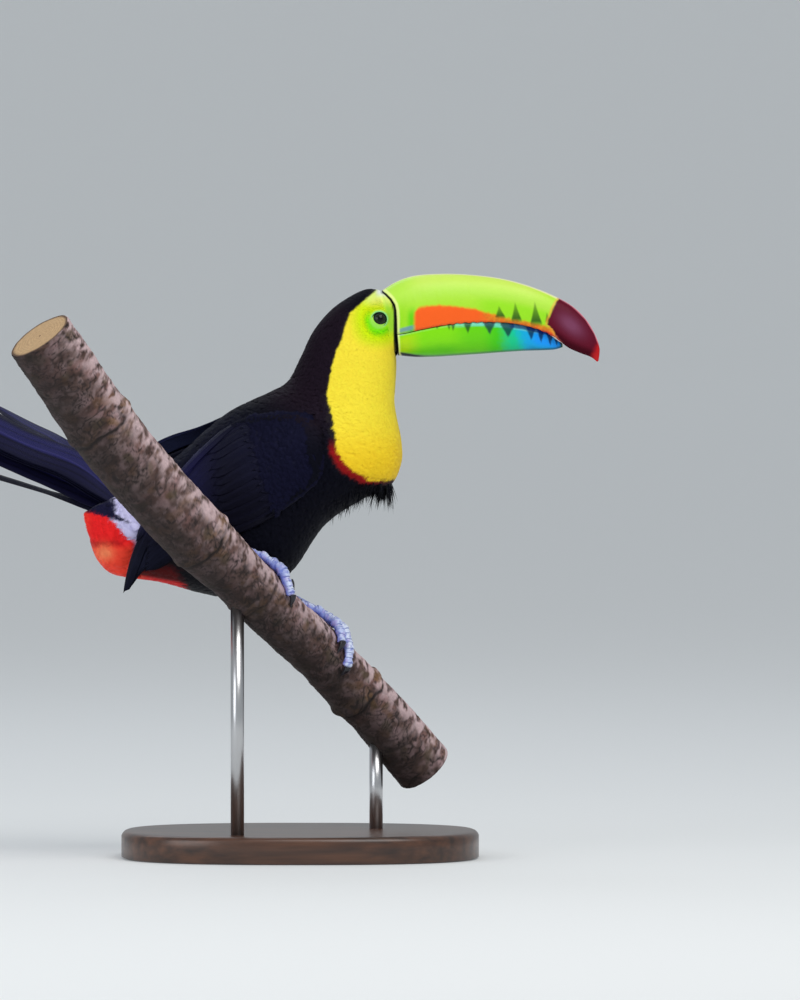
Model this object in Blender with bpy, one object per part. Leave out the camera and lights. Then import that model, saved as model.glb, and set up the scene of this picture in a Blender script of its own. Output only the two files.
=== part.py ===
"""A keel-billed toucan at life size, perched on a short cut length of branch over a plain display stand.

Metres, +Z up. The bird faces +X, its right side is at -Y, and the origin is the centre of the
base's underside. Tables of sizes are in millimetres and become metres where they are read.
"""

import math

import bmesh
import bpy
import numpy as np

MM = 0.001
GAP = 0.3 * MM  # clearance between pieces that touch
RIGHT, LEFT = -1, 1  # the sign of Y on each side of the bird

# Sections of the body from the face to the vent: the point on the back line (x, z), the point on
# the belly line (x, z), the half width, and the roll in degrees that turns the back to the right.
BODY = (
    (54.3, 380.6, 64.3, 336.6, 19.8, 0),
    (44.2, 381.0, 64.5, 331.0, 22.4, 0),
    (32.2, 375.4, 64.3, 323.6, 24.6, 0),
    (20.1, 366.5, 63.7, 314.2, 25.6, 0),
    (8.7, 352.4, 63.3, 304.9, 26.2, 0),
    (0.0, 334.3, 65.0, 294.1, 28.2, 0),
    (-8.0, 319.6, 67.9, 279.4, 32.0, 2),
    (-18.8, 312.9, 67.9, 264.7, 36.0, 4),
    (-32.2, 306.9, 60.5, 249.5, 39.0, 6),
    (-47.2, 299.3, 41.0, 240.0, 41.0, 7),
    (-63.7, 286.6, 16.4, 223.0, 42.0, 9),
    (-79.1, 272.8, -5.0, 192.5, 41.0, 11),
    (-91.8, 263.5, -30.2, 172.0, 38.0, 14),
    (-101.8, 255.0, -63.7, 177.0, 33.5, 18),
    (-111.2, 248.5, -93.8, 185.4, 28.5, 22),
    (-120.5, 244.2, -124.0, 190.0, 23.0, 26),
    (-135.0, 237.0, -135.0, 199.5, 15.0, 28),
    (-145.5, 231.0, -139.5, 211.0, 6.0, 28),
)
HEAD_END, NECK_END, TRUNK_END = 3.9, 6.2, 13.6  # where the body is parted, in sections
RINGS_PER_SECTION = 2
BODY_SIDES = 24

# The upper mandible: culmen (x, z), cutting edge (x, z), half width.
BILL_UPPER = (
    (54.7, 380.2, 64.0, 351.0, 18.6),
    (64.7, 386.4, 72.0, 352.6, 18.2),
    (77.5, 390.4, 82.0, 354.8, 17.4),
    (96.7, 391.6, 97.0, 357.6, 16.2),
    (115.9, 390.8, 114.0, 359.3, 14.8),
    (135.2, 388.3, 131.0, 359.5, 13.2),
    (152.0, 383.9, 146.0, 358.1, 11.5),
    (168.0, 377.8, 160.0, 354.4, 9.7),
    (181.5, 370.6, 171.0, 348.9, 7.9),
    (191.0, 361.8, 179.5, 342.4, 6.0),
    (197.2, 352.0, 187.5, 338.7, 4.2),
    (200.8, 342.0, 194.8, 335.9, 2.4),
    (200.2, 333.4, 199.2, 332.6, 0.6),
)
# The lower mandible: cutting edge (x, z), gonys (x, z), half width.
BILL_LOWER = (
    (64.2, 350.4, 65.4, 337.0, 18.4),
    (72.0, 352.0, 77.5, 335.9, 18.0),
    (82.0, 354.2, 90.0, 336.0, 17.2),
    (97.0, 357.0, 104.0, 336.8, 15.8),
    (114.0, 358.7, 119.0, 337.8, 14.2),
    (131.0, 358.9, 135.2, 339.0, 12.2),
    (146.0, 357.5, 149.0, 339.9, 9.8),
    (160.0, 353.8, 162.0, 340.3, 6.8),
    (169.5, 349.0, 170.5, 340.8, 4.0),
    (176.0, 343.8, 176.0, 342.4, 0.8),
)
BILL_ROUNDNESS = 0.78  # 1 is a plain ellipse, less is squarer at the sides

# Folded wings from wrist to tip: upper edge (x, z, distance from the midline), lower edge (the
# same), how far the middle bulges outwards, and the thickness. The right wing droops lower.
WING_RIGHT = (
    (14.0, 292.0, 35.0, 16.5, 275.0, 38.3, 1.0, 4.0),
    (3.0, 298.6, 31.6, 13.0, 256.0, 37.8, 4.5, 8.0),
    (-18.0, 299.4, 27.4, -3.0, 240.0, 37.2, 7.5, 10.0),
    (-42.0, 295.2, 20.0, -24.0, 225.5, 39.3, 10.5, 10.0),
    (-61.6, 279.4, 22.6, -45.6, 215.0, 39.6, 8.0, 9.0),
    (-79.1, 260.6, 26.6, -63.7, 208.5, 38.0, 5.5, 7.5),
    (-93.8, 242.5, 28.8, -77.7, 203.0, 36.0, 3.5, 5.5),
    (-105.2, 225.1, 29.5, -90.5, 197.6, 34.0, 2.5, 4.0),
    (-113.2, 205.7, 29.5, -103.2, 188.9, 31.5, 1.5, 2.6),
    (-119.0, 177.5, 28.5, -118.2, 176.6, 28.5, 0.0, 1.0),
)
WING_LEFT = (
    (13.0, 294.0, 34.0, 16.5, 276.0, 38.8, 1.2, 4.0),
    (0.0, 303.0, 27.2, 12.0, 256.0, 40.2, 5.3, 8.0),
    (-21.0, 305.5, 15.8, -4.0, 240.0, 40.0, 11.2, 10.0),
    (-45.6, 299.2, 8.0, -25.5, 226.0, 42.3, 13.3, 10.0),
    (-68.3, 289.2, 10.0, -45.6, 217.0, 42.0, 10.5, 9.0),
    (-90.5, 281.2, 12.0, -65.0, 212.4, 40.0, 7.2, 7.5),
    (-107.2, 269.0, 15.0, -80.4, 208.4, 37.5, 5.5, 5.5),
    (-117.9, 251.0, 18.0, -95.2, 205.7, 34.0, 4.0, 4.0),
    (-123.0, 231.0, 21.0, -108.5, 201.0, 29.0, 2.0, 2.6),
    (-123.6, 204.8, 25.0, -122.6, 204.0, 25.0, 0.0, 1.0),
)
WING_SIDES = 7  # points on each face of a wing section

TAIL_ROOT = (-103.2, -4.0, 229.8)
TAIL_AIM = (-0.875, 0.10, 0.474)
TAIL_ROLL = 38  # degrees that the upper side of the tail turns to the right
# Degrees off the middle of the first feather on each side, and more for each feather after it.
# The right side is folded more closely than the left.
TAIL_SPLAY = {RIGHT: (-1.6, 0.3), LEFT: (1.4, 2.0)}
TAIL_LENGTHS = (172, 170, 166, 158, 146)  # feather tips from the tail's root, innermost first
TAIL_WIDTHS = (29, 28, 27, 25, 19)
TAIL_START = 9.0
TAIL_RINGS = (TAIL_START, 32.0, 55.0, 78.0, 109.7)
TAIL_ARCH = 0.005  # drop at a distance v off the middle is this times v squared, in millimetres
FEATHER_THICK, FEATHER_LEVEL = 0.5, 0.85
# The right outermost feather strays outwards, and turns its outer edge up towards its tip.
STRAY_SPLAY, STRAY_TURN = 14.4, 34.0
STRAY_TURNS_FROM, STRAY_TURNED_BY = 0.15, 0.4  # shares of its length
# The other feathers bow upwards: height of the bow, its distance from the root and its spread.
TAIL_BOW = (6.5, 58.0, 30.0)
# The left outermost feather is short and swings outwards by a reach between two distances.
SHORT_LENGTH, SWING = 134.0, (15.0, 46.0, 92.0)
# The lowest feather of the bundle, the fourth on the right, is not bowed and sags towards its tip:
# more splay, how far it sags, and from where to where.
LOW_SPLAY, SAG = 1.3, (3.5, 50.0, 115.0)

EYE_CENTRE = (53.2, 17.6, 361.6)  # x, distance from the midline, z
EYE_RADIUS = 5.3

# Centre line of the perch (x, y, z) and its radius, from the upper cut to the lower.
PERCH = (
    (-171.0, -132, 353.0, 22.6),
    (-155.0, -123, 329.0, 22.6),
    (-137.4, -112, 302.1, 22.8),
    (-108.5, -96, 264.0, 22.6),
    (-70.4, -75, 221.0, 22.0),
    (-41.5, -55, 191.5, 19.2),
    (-16.8, -34, 165.4, 18.4),
    (14.7, -5, 135.5, 18.4),
    (30.8, 9, 117.6, 19.0),
    (50.9, 24, 96.4, 18.8),
    (68.3, 36, 75.8, 19.6),
    (83.0, 46, 57.5, 20.0),
)
PERCH_SIDES = 16
PERCH_RINGS = 22
# Old leaf-scar rings: place along the perch in sections, swelling in millimetres.
PERCH_SCARS = ((2.2, 1.3), (4.15, 1.2), (5.4, 0.7), (8.35, 1.4))

# Each foot: the heel (x, y, z), where its sole rests on the perch (section, degrees from the
# top towards the right), and its toes. A toe ends at (sections, degrees), has a radius at each
# end, and lifts over its own middle joint by the last value.
FEET = {
    "right": {
        "heel": (-40.0, -20.0, 205.0),
        "sole": (5.38, 12),
        "toes": {
            1: (5.18, -68, 3.3, 2.5, 1.2),
            2: (5.84, 20, 3.4, 2.6, 2.2),
            3: (5.79, 68, 3.4, 2.6, 1.8),
            4: (4.95, -28, 3.3, 2.5, 1.4),
        },
    },
    "left": {
        "heel": (-30.0, 14.0, 187.0),
        "sole": (6.72, 8),
        "toes": {
            1: (6.38, -16, 3.4, 2.6, 1.0),
            2: (6.86, 70, 3.5, 2.7, 1.0),
            3: (7.2, 100, 3.5, 2.7, 1.2),
            4: (6.52, -50, 3.3, 2.6, 1.0),
        },
    },
}
TOE_SIDES, TOE_RINGS = 7, 7
CLAW_LENGTH = 7.2

BASE_LENGTH, BASE_DEPTH, BASE_THICK = 240 * MM, 176 * MM, 18 * MM
BASE_SQUARENESS = 2.6  # exponent of the plan's superellipse
ROD_RADIUS = 4.5 * MM
ROD_PLACES = ((-41.5, -55.0), (50.9, 24.0))  # x and y of each rod, in millimetres
ROD_TENON = 6.0 * MM  # how deep the rod sits in the base and in the perch


def clear_scene():
    for old in list(bpy.data.objects):
        bpy.data.objects.remove(old)


def finish(name, colour, roughness, metallic=0.0):
    """A plain material of one colour."""
    made = bpy.data.materials.new(name)
    made.use_nodes = True
    shader = made.node_tree.nodes["Principled BSDF"]
    shader.inputs["Base Color"].default_value = (*colour, 1.0)
    shader.inputs["Roughness"].default_value = roughness
    shader.inputs["Metallic"].default_value = metallic
    return made


def between(table, u):
    """The table's row at u, counted in rows, on a Catmull-Rom curve through all of them."""
    rows = np.asarray(table, float)
    last = len(rows) - 1
    i = int(min(max(math.floor(u), 0), last - 1))
    t = u - i
    before, a, b, after = rows[max(i - 1, 0)], rows[i], rows[i + 1], rows[min(i + 2, last)]
    slope_a, slope_b = (b - before) / 2, (after - a) / 2
    return (
        (2 * t**3 - 3 * t**2 + 1) * a
        + (t**3 - 2 * t**2 + t) * slope_a
        + (3 * t**2 - 2 * t**3) * b
        + (t**3 - t**2) * slope_b
    )


def unit(v):
    v = np.asarray(v, float)
    return v / np.linalg.norm(v)


def add_object(name, points, faces, finishes, parent=None, smooth=True):
    """A mesh object with its faces turned outwards and smooth shading under 40 degrees."""
    mesh = bpy.data.meshes.new(name)
    mesh.from_pydata([tuple(p) for p in points], [], faces)
    shape = bmesh.new()
    shape.from_mesh(mesh)
    bmesh.ops.recalc_face_normals(shape, faces=shape.faces)
    shape.to_mesh(mesh)
    shape.free()
    mesh.materials.append(finishes)
    if smooth:
        mesh.shade_smooth()
        mesh.set_sharp_from_angle(angle=math.radians(40))
    made = bpy.data.objects.new(name, mesh)
    made.parent = parent
    bpy.context.scene.collection.objects.link(made)
    return made


def loft(name, rings, finishes, parent=None, smooth=True):
    """One closed body through rings of equal count, each a list of points, with flat ends."""
    count = len(rings[0])
    points = [p for ring in rings for p in ring]
    faces = []
    for r in range(len(rings) - 1):
        for k in range(count):
            a, b = r * count + k, r * count + (k + 1) % count
            faces += [(a, b, b + count), (a, b + count, a + count)]
    faces.append(tuple(range(count)))
    faces.append(tuple(range(len(points) - count, len(points))))
    return add_object(name, points, faces, finishes, parent, smooth)


def cut(target, *cutters):
    """The target loses what each cutter covers."""
    for cutter in cutters:
        step = target.modifiers.new("cut_" + cutter.name, "BOOLEAN")
        step.operation, step.object, step.solver = "DIFFERENCE", cutter, "EXACT"
        cutter.hide_render, cutter.display_type = True, "WIRE"


def join(target, *others):
    """The target gains each of the others, which are hidden."""
    for other in others:
        step = target.modifiers.new("join_" + other.name, "BOOLEAN")
        step.operation, step.object, step.solver = "UNION", other, "EXACT"
        other.hide_render, other.display_type = True, "WIRE"


# ---------------------------------------------------------------- body


def body_ring(u, grow=0.0):
    """The body's outline at section u, made bigger all round by grow metres."""
    back_x, back_z, belly_x, belly_z, half_width, roll = between(BODY, u)
    back = np.array((back_x, 0, back_z)) * MM
    belly = np.array((belly_x, 0, belly_z)) * MM
    centre, up = (back + belly) / 2, (back - belly) / 2
    half_height = np.linalg.norm(up) + grow
    up = unit(up)
    across = np.array((0.0, 1.0, 0.0))
    turn = math.radians(roll)
    tilted_up = up * math.cos(turn) - across * math.sin(turn)
    tilted_across = across * math.cos(turn) + up * math.sin(turn)
    ring = []
    for k in range(BODY_SIDES):
        angle = 2 * math.pi * k / BODY_SIDES
        low_belly = 1 - 0.07 * math.cos(angle)  # a little wider below the middle
        side = math.sin(angle) * (half_width * MM + grow) * low_belly
        ring.append(centre + tilted_up * math.cos(angle) * half_height + tilted_across * side)
    return ring


def body_length(name, start, end, finishes, parent, grow=0.0):
    """The body from section start to section end."""
    steps = max(2, round((end - start) * RINGS_PER_SECTION))
    rings = [body_ring(start + (end - start) * i / steps, grow) for i in range(steps + 1)]
    return loft(name, rings, finishes, parent)


def cut_width(u):
    """Half of the parting cut at section u, in sections, so that it is a full GAP at its thinnest."""
    step = 0.05
    a, b = between(BODY, u - step), between(BODY, u + step)
    speeds = (np.linalg.norm((b - a)[0:2]), np.linalg.norm((b - a)[2:4]))
    return GAP * 0.75 / (min(speeds) * MM / (2 * step))


def make_body(finishes, parent):
    """Head, neck, trunk and tail coverts: one form parted by thin cuts."""
    last = len(BODY) - 1
    spans = (
        ("head", 0.0, HEAD_END, "yellow"),
        ("neck", HEAD_END, NECK_END, "yellow"),
        ("trunk", NECK_END, TRUNK_END, "black"),
        ("tail_coverts", TRUNK_END, last, "red"),
    )
    made = {}
    for name, start, end, colour in spans:
        start += cut_width(start) if start > 0 else 0
        end -= cut_width(end) if end < last else 0
        made[name] = body_length(name, start, end, finishes[colour], parent)
    return made


# ---------------------------------------------------------------- bill and eyes


def mandible(name, table, side, finishes, parent):
    """Half of the bill. Side 1 arches up to the culmen, and -1 down to the gonys."""
    steps = (len(table) - 1) * 2
    arc_points = 9
    rings = []
    for i in range(steps + 1):
        row = between(table, i * (len(table) - 1) / steps)
        high, low = np.array((row[0], 0, row[1])) * MM, np.array((row[2], 0, row[3])) * MM
        flat, crest = (low, high) if side > 0 else (high, low)
        rise = crest - flat
        ring = []
        for k in range(arc_points + 1):
            angle = math.pi * k / arc_points
            out = math.copysign(abs(math.cos(angle)) ** BILL_ROUNDNESS, math.cos(angle))
            lift = math.sin(angle) ** BILL_ROUNDNESS
            ring.append(flat + rise * lift + np.array((0, out * row[4] * MM, 0)))
        rings.append(ring)
    return loft(name, rings, finishes, parent)


def sphere(name, centre, radius, finishes, parent, segments=12):
    shape = bmesh.new()
    bmesh.ops.create_uvsphere(shape, u_segments=segments, v_segments=segments // 2 + 1, radius=radius)
    points = [np.array(v.co) + centre for v in shape.verts]
    faces = [[v.index for v in f.verts] for f in shape.faces]
    shape.free()
    return add_object(name, points, faces, finishes, parent)


def make_eyes(head, finishes, parent):
    x, out, z = EYE_CENTRE
    for name, side in (("right", RIGHT), ("left", LEFT)):
        centre = np.array((x, side * out, z)) * MM
        sphere("eye_" + name, centre, EYE_RADIUS * MM, finishes["eye"], parent)
        socket = sphere("socket_" + name, centre, EYE_RADIUS * MM + GAP, finishes["eye"], parent)
        cut(head, socket)


# ---------------------------------------------------------------- wings


def wing_middle(table, side, grow):
    """A grid of points on the wing's middle surface, and its thickness at each section."""
    steps = (len(table) - 1) * 2
    grid, thicks = [], []
    for i in range(steps + 1):
        row = between(table, i * (len(table) - 1) / steps)
        upper = np.array((row[0], side * row[2], row[1])) * MM
        lower = np.array((row[3], side * row[5], row[4])) * MM
        line = []
        for k in range(WING_SIDES + 1):
            v = k / WING_SIDES
            bulge = np.array((0, side * row[6] * MM * 4 * v * (1 - v), 0))
            line.append(upper + (lower - upper) * v + bulge)
        line[0], line[-1] = (
            line[0] + unit(line[0] - line[1]) * grow,
            line[-1] + unit(line[-1] - line[-2]) * grow,
        )
        grid.append(line)
        thicks.append(max(row[7], 0.8) * MM)
    grid = np.array(grid)
    grid[0] += unit(grid[0].mean(axis=0) - grid[1].mean(axis=0)) * grow
    grid[-1] += unit(grid[-1].mean(axis=0) - grid[-2].mean(axis=0)) * grow
    return grid, thicks


def wing(name, table, side, finishes, parent, grow=0.0):
    """A folded wing: a bowed blade, thick at the wrist and thin at the tip."""
    grid, thicks = wing_middle(table, side, grow)
    outward = np.cross(np.gradient(grid, axis=0), np.gradient(grid, axis=1))
    outward /= np.linalg.norm(outward, axis=2, keepdims=True)
    if outward[len(grid) // 2, WING_SIDES // 2, 1] * side < 0:
        outward = -outward
    rings = []
    for line, normals, thick in zip(grid, outward, thicks):
        ring = []
        for face in (1, -1):
            for k in range(WING_SIDES):
                n = k if face > 0 else WING_SIDES - k
                bow = math.sqrt(4 * n * (WING_SIDES - n)) / WING_SIDES
                ring.append(line[n] + normals[n] * face * (bow * thick / 2 + (grow if bow else 0)))
        rings.append(ring)
    return loft(name, rings, finishes, parent)


def make_wings(body, finishes, parent):
    """Both wings, with pockets for them in the body."""
    for name, table, side in (("right", WING_RIGHT, RIGHT), ("left", WING_LEFT, LEFT)):
        wing("wing_" + name, table, side, finishes["black"], parent)
        pocket = wing("pocket_" + name, table, side, finishes["black"], parent, grow=GAP * 3)
        for piece in body:
            cut(piece, pocket)


# ---------------------------------------------------------------- tail


def tail_axes():
    """The tail's length, its width towards the bird's left, and its upper side."""
    along = unit(TAIL_AIM)
    flat_up = unit(np.array((0, 0, 1.0)) - along * along[2])
    flat_left = np.cross(along, flat_up)
    if flat_left[1] < 0:
        flat_left = -flat_left
    turn = math.radians(TAIL_ROLL)
    up = flat_up * math.cos(turn) - flat_left * math.sin(turn)
    left = flat_left * math.cos(turn) + flat_up * math.sin(turn)
    return along, left, up


def tail_bow(distance):
    """How far the feathers bow upwards at a distance from the tail's root."""
    height, place, spread = TAIL_BOW
    return height * math.exp(-(((distance - place) / spread) ** 2))


def tail_shift(shift, distance):
    """A sideways or downward shift that grows from one distance from the tail's root to another."""
    reach, start, end = shift
    share = min(max((distance - start) / (end - start), 0), 1)
    return reach * share**2 * (3 - 2 * share)


def tail_point(distance, off_middle, level, bow=0.0):
    """A point of the tail, in millimetres: out from the root, off the middle, below the top."""
    along, left, up = tail_axes()
    turn = math.radians(TAIL_ROLL)
    flat_up = up * math.cos(turn) + left * math.sin(turn)
    drop = TAIL_ARCH * off_middle**2 + level
    place = np.array(TAIL_ROOT) + along * distance + left * off_middle - up * drop
    return (place + flat_up * bow) * MM


def vane_width(share):
    """A tail feather's width at a share of its length, as a share of its full width."""
    return (0.36 + 0.64 * math.sin(min(share / 0.4, 1) * math.pi / 2)) * math.sqrt(
        max(0.02, 1 - max(0, (share - 0.9) / 0.1) ** 2)
    )


def tail_feather(name, order, side, finishes, parent):
    """One of the ten flight feathers of the tail, each a level below the one before."""
    length, width = TAIL_LENGTHS[order], TAIL_WIDTHS[order]
    outermost = order == len(TAIL_LENGTHS) - 1
    short = outermost and side == LEFT
    if short:
        length = SHORT_LENGTH
    first, more = TAIL_SPLAY[side]
    splay, turn = first + more * order, 0
    stray = outermost and side == RIGHT
    low = order == len(TAIL_LENGTHS) - 2 and side == RIGHT
    if stray:
        splay, turn = splay + STRAY_SPLAY, math.tan(math.radians(STRAY_TURN))
    if low:
        splay += LOW_SPLAY
    # The short feather lies over the low one, and the stray one a little further down.
    level = FEATHER_LEVEL * (2 * order + (side == RIGHT) + low - short + 0.5 * stray)
    across = 3
    rings = []
    # The feathers share the places of their inner rings, so that they bow alike.
    ends = (length,) if short else (0.93 * length, length)
    for distance in (*TAIL_RINGS, *ends):
        share = (distance - TAIL_START) / (length - TAIL_START)
        middle = side * distance * math.tan(math.radians(splay))
        if short:
            middle += side * tail_shift(SWING, distance)
        half = width / 2 * vane_width(share)
        turned = (share - STRAY_TURNS_FROM) / (STRAY_TURNED_BY - STRAY_TURNS_FROM)
        tilt = turn * min(max(turned, 0), 1)
        bow = 0 if stray or low else tail_bow(distance)
        bow -= tail_shift(SAG, distance) if low else 0
        offsets = [half * (2 * k / across - 1) for k in range(across + 1)]
        top = [tail_point(distance, middle + v, level + tilt * v, bow) for v in offsets]
        under = [
            tail_point(distance, middle + v, level + tilt * v + FEATHER_THICK, bow)
            for v in reversed(offsets)
        ]
        rings.append(top + under)
    return loft(name, rings, finishes, parent)


def tail_slot(finishes, parent):
    """The room that the bundle of feathers takes in the tail coverts."""
    deep = FEATHER_LEVEL * (2 * len(TAIL_LENGTHS) + 0.5) + 0.5
    rings = []
    for distance, half in ((TAIL_START - 2, 9.5), (30, 17.5), (60, 30.0)):
        ring = []
        high = -0.6 - tail_bow(distance)
        for level, sides in ((high, (-1, -0.5, 0, 0.5, 1)), (deep, (1, 0.5, 0, -0.5, -1))):
            ring += [tail_point(distance, half * s, level) for s in sides]
        rings.append(ring)
    return loft("tail_slot", rings, finishes["black"], parent)


def make_tail(coverts, trunk, finishes, parent):
    for order in range(len(TAIL_LENGTHS)):
        for name, side in (("right", RIGHT), ("left", LEFT)):
            tail_feather(f"tail_feather_{name}_{order + 1}", order, side, finishes["black"], parent)
    slot = tail_slot(finishes, parent)
    cut(coverts, slot)
    cut(trunk, slot)


# ---------------------------------------------------------------- perch and stand


def perch_frame(u):
    """The perch at section u: centre, direction, top, right side and radius."""
    row = between(PERCH, u)
    step = 0.05
    low, high = max(u - step, 0), min(u + step, len(PERCH) - 1)
    along = unit((between(PERCH, high) - between(PERCH, low))[:3])
    top = unit(np.array((0, 0, 1.0)) - along * along[2])
    radius = row[3] + sum(
        swell * math.exp(-(((u - place) / 0.12) ** 2)) for place, swell in PERCH_SCARS
    )
    return row[:3] * MM, along, top, np.cross(along, top), radius * MM


def on_perch(u, degrees, height=0.0):
    """A point over the perch's surface, degrees round from its top towards the bird's right."""
    centre, _, top, right, radius = perch_frame(u)
    angle = math.radians(degrees)
    return centre + (top * math.cos(angle) + right * math.sin(angle)) * (radius + height)


def make_perch(finishes, parent, name="perch", grow=0.0):
    rings = []
    for i in range(PERCH_RINGS + 1):
        u = (len(PERCH) - 1) * i / PERCH_RINGS
        rings.append([on_perch(u, 360 * k / PERCH_SIDES, grow) for k in range(PERCH_SIDES)])
    return loft(name, rings, finishes["bark"], parent)


def rod(name, place, bottom, top, radius, finishes, parent):
    x, y = place
    sides = 12
    rings = []
    for z in (bottom, top):
        turns = [2 * math.pi * k / sides for k in range(sides)]
        rings.append(
            [(x * MM + radius * math.cos(a), y * MM + radius * math.sin(a), z) for a in turns]
        )
    return loft(name, rings, finishes["steel"], parent)


def make_base(finishes, parent):
    """An oval board with a rounded upper edge."""
    sides = 40
    rings = []
    for inset, z in ((0, 0), (0, 0.82), (0.02, 1)):
        ring = []
        for k in range(sides):
            angle = 2 * math.pi * k / sides
            c, s = math.cos(angle), math.sin(angle)
            x = math.copysign(abs(c) ** (2 / BASE_SQUARENESS), c) * BASE_LENGTH / 2
            y = math.copysign(abs(s) ** (2 / BASE_SQUARENESS), s) * BASE_DEPTH / 2
            ring.append((x * (1 - inset), y * (1 - inset), z * BASE_THICK))
        rings.append(ring)
    return loft("stand_base", rings, finishes["wood"], parent, smooth=False)


def perch_height_over(place):
    """Height of the perch's centre line at the rod's place, and its slope's radius below it."""
    target = np.array(place) * MM
    steps = 400
    best = min(
        (np.linalg.norm(perch_frame(i * (len(PERCH) - 1) / steps)[0][:2] - target), i)
        for i in range(steps + 1)
    )[1]
    centre, along, _, _, radius = perch_frame(best * (len(PERCH) - 1) / steps)
    return centre[2], radius / math.sqrt(1 - along[2] ** 2)


def make_stand(perch, finishes, parent):
    """The base and two rods, each let into the base and into the underside of the perch."""
    base = make_base(finishes, parent)
    for number, place in enumerate(ROD_PLACES, 1):
        height, below = perch_height_over(place)
        bottom, top = BASE_THICK - ROD_TENON, height - below + ROD_TENON
        rod(f"stand_rod_{number}", place, bottom, top, ROD_RADIUS, finishes, parent)
        hole = rod(
            f"rod_hole_{number}", place, bottom - GAP, top + GAP, ROD_RADIUS + GAP, finishes, parent
        )
        cut(base, hole)
        cut(perch, hole)


# ---------------------------------------------------------------- legs and feet


def tube(name, path, radii, finishes, parent, sides=TOE_SIDES):
    """A round tube along a path, with a radius at each point and rounded-off flat ends."""
    path = [np.asarray(p, float) for p in path]
    side = None
    rings = []
    for i, centre in enumerate(path):
        along = unit(path[min(i + 1, len(path) - 1)] - path[max(i - 1, 0)])
        if side is None:
            side = unit(np.cross(along, (0.3, 0.9, 0.2)))
        side = unit(side - along * np.dot(side, along))
        other = np.cross(along, side)
        turns = [2 * math.pi * k / sides for k in range(sides)]
        rings.append([centre + (side * math.cos(a) + other * math.sin(a)) * radii[i] for a in turns])
    return loft(name, rings, finishes, parent)


def toe_path(foot, toe):
    """Centre points and radii of a toe, from the sole to the claw's root, lying on the perch."""
    (start_u, start_angle), (end_u, end_angle, thick, thin, arch) = foot["sole"], toe
    points, radii = [], []
    for i in range(TOE_RINGS):
        t = i / (TOE_RINGS - 1)
        joints = 1 + 0.09 * math.cos(t * 3 * 2 * math.pi)
        radius = (thick + (thin - thick) * t) * joints * MM
        lift = radius + GAP + arch * MM * math.sin(math.pi * min(t * 1.4, 1)) ** 2
        u = start_u + (end_u - start_u) * t
        angle = start_angle + (end_angle - start_angle) * t
        points.append(on_perch(u, angle, lift))
        radii.append(radius)
    return points, radii


def make_claw(name, points, end_radius, foot, toe, finishes, parent):
    """A curved claw that starts just beyond the toe and dips to the bark."""
    (start_u, start_angle), (end_u, end_angle) = foot["sole"], toe[:2]
    length = np.linalg.norm(points[-1] - points[0])
    steps = 6
    path, radii = [], []
    first = (GAP * 3) / length
    for i in range(steps + 1):
        t = i / steps
        onward = 1 + first + t * CLAW_LENGTH * MM / length
        radius = end_radius * 0.78 * (1 - t) ** 0.8 + 0.25 * MM
        lift = radius + GAP + 1.6 * MM * math.sin(math.pi * min(t + 0.25, 1)) * (1 - t)
        u = start_u + (end_u - start_u) * onward
        angle = start_angle + (end_angle - start_angle) * onward
        path.append(on_perch(u, angle, lift))
        radii.append(radius)
    return tube(name, path, radii, finishes["claw"], parent, sides=6)


def make_leg(name, foot, body, finishes, parent):
    """The shank and its four joined toes, two forwards and two backwards, and four claws."""
    sole = on_perch(*foot["sole"], 4.2 * MM)
    heel = np.array(foot["heel"]) * MM
    whole = sphere("leg_" + name, sole, 3.9 * MM, finishes["blue"], parent, segments=10)
    shank = [sole, sole * 0.9 + heel * 0.1, sole * 0.5 + heel * 0.5, sole * 0.1 + heel * 0.9, heel]
    radii = [3.2 * MM, 2.9 * MM, 2.7 * MM, 3.0 * MM, 3.3 * MM]
    bones = [tube("shank_" + name, shank, radii, finishes["blue"], parent)]
    for number, toe in foot["toes"].items():
        points, thick = toe_path(foot, toe)
        bones.append(tube(f"toe_{name}_{number}", points, thick, finishes["blue"], parent))
        claw_name = f"claw_{name}_{number}"
        make_claw(claw_name, points, thick[-1], foot, toe, finishes, parent)
    join(whole, *bones)
    for part in body:
        cut(whole, part)
    return whole


def main():
    clear_scene()
    finishes = {
        "yellow": finish("yellow_feathers", (0.95, 0.75, 0.05), 0.75),
        "black": finish("black_feathers", (0.012, 0.012, 0.02), 0.5),
        "red": finish("red_feathers", (0.8, 0.06, 0.02), 0.75),
        "green": finish("bill_green", (0.45, 0.78, 0.06), 0.35),
        "eye": finish("eye_dark", (0.01, 0.012, 0.012), 0.08),
        "blue": finish("foot_blue", (0.25, 0.36, 0.75), 0.55),
        "claw": finish("claw_horn", (0.02, 0.02, 0.03), 0.35),
        "bark": finish("bark", (0.27, 0.21, 0.17), 0.9),
        "wood": finish("stand_wood", (0.09, 0.045, 0.025), 0.4),
        "steel": finish("stand_steel", (0.55, 0.55, 0.56), 0.3, 1.0),
    }
    parent = bpy.data.objects.new("toucan_on_perch", None)
    bpy.context.scene.collection.objects.link(parent)
    body = make_body(finishes, parent)
    mandible("bill_upper", BILL_UPPER, 1, finishes["green"], parent)
    mandible("bill_lower", BILL_LOWER, -1, finishes["green"], parent)
    make_eyes(body["head"], finishes, parent)
    make_wings((body["trunk"], body["tail_coverts"]), finishes, parent)
    make_tail(body["tail_coverts"], body["trunk"], finishes, parent)
    perch = make_perch(finishes, parent)
    make_stand(perch, finishes, parent)
    whole_body = body_length(
        "body_room", NECK_END, len(BODY) - 1, finishes["black"], parent, grow=GAP
    )
    for name, foot in FEET.items():
        make_leg(name, foot, (whole_body,), finishes, parent)


main()
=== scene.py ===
"""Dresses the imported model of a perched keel-billed toucan: skin, feathers, bill, feet, perch and stand.

Tables are in millimetres in the model's own frame (+X the way the bird faces, +Y its left side,
+Z up) and become metres where they are read. Colours are given as display values from 0 to 255.
"""

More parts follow.
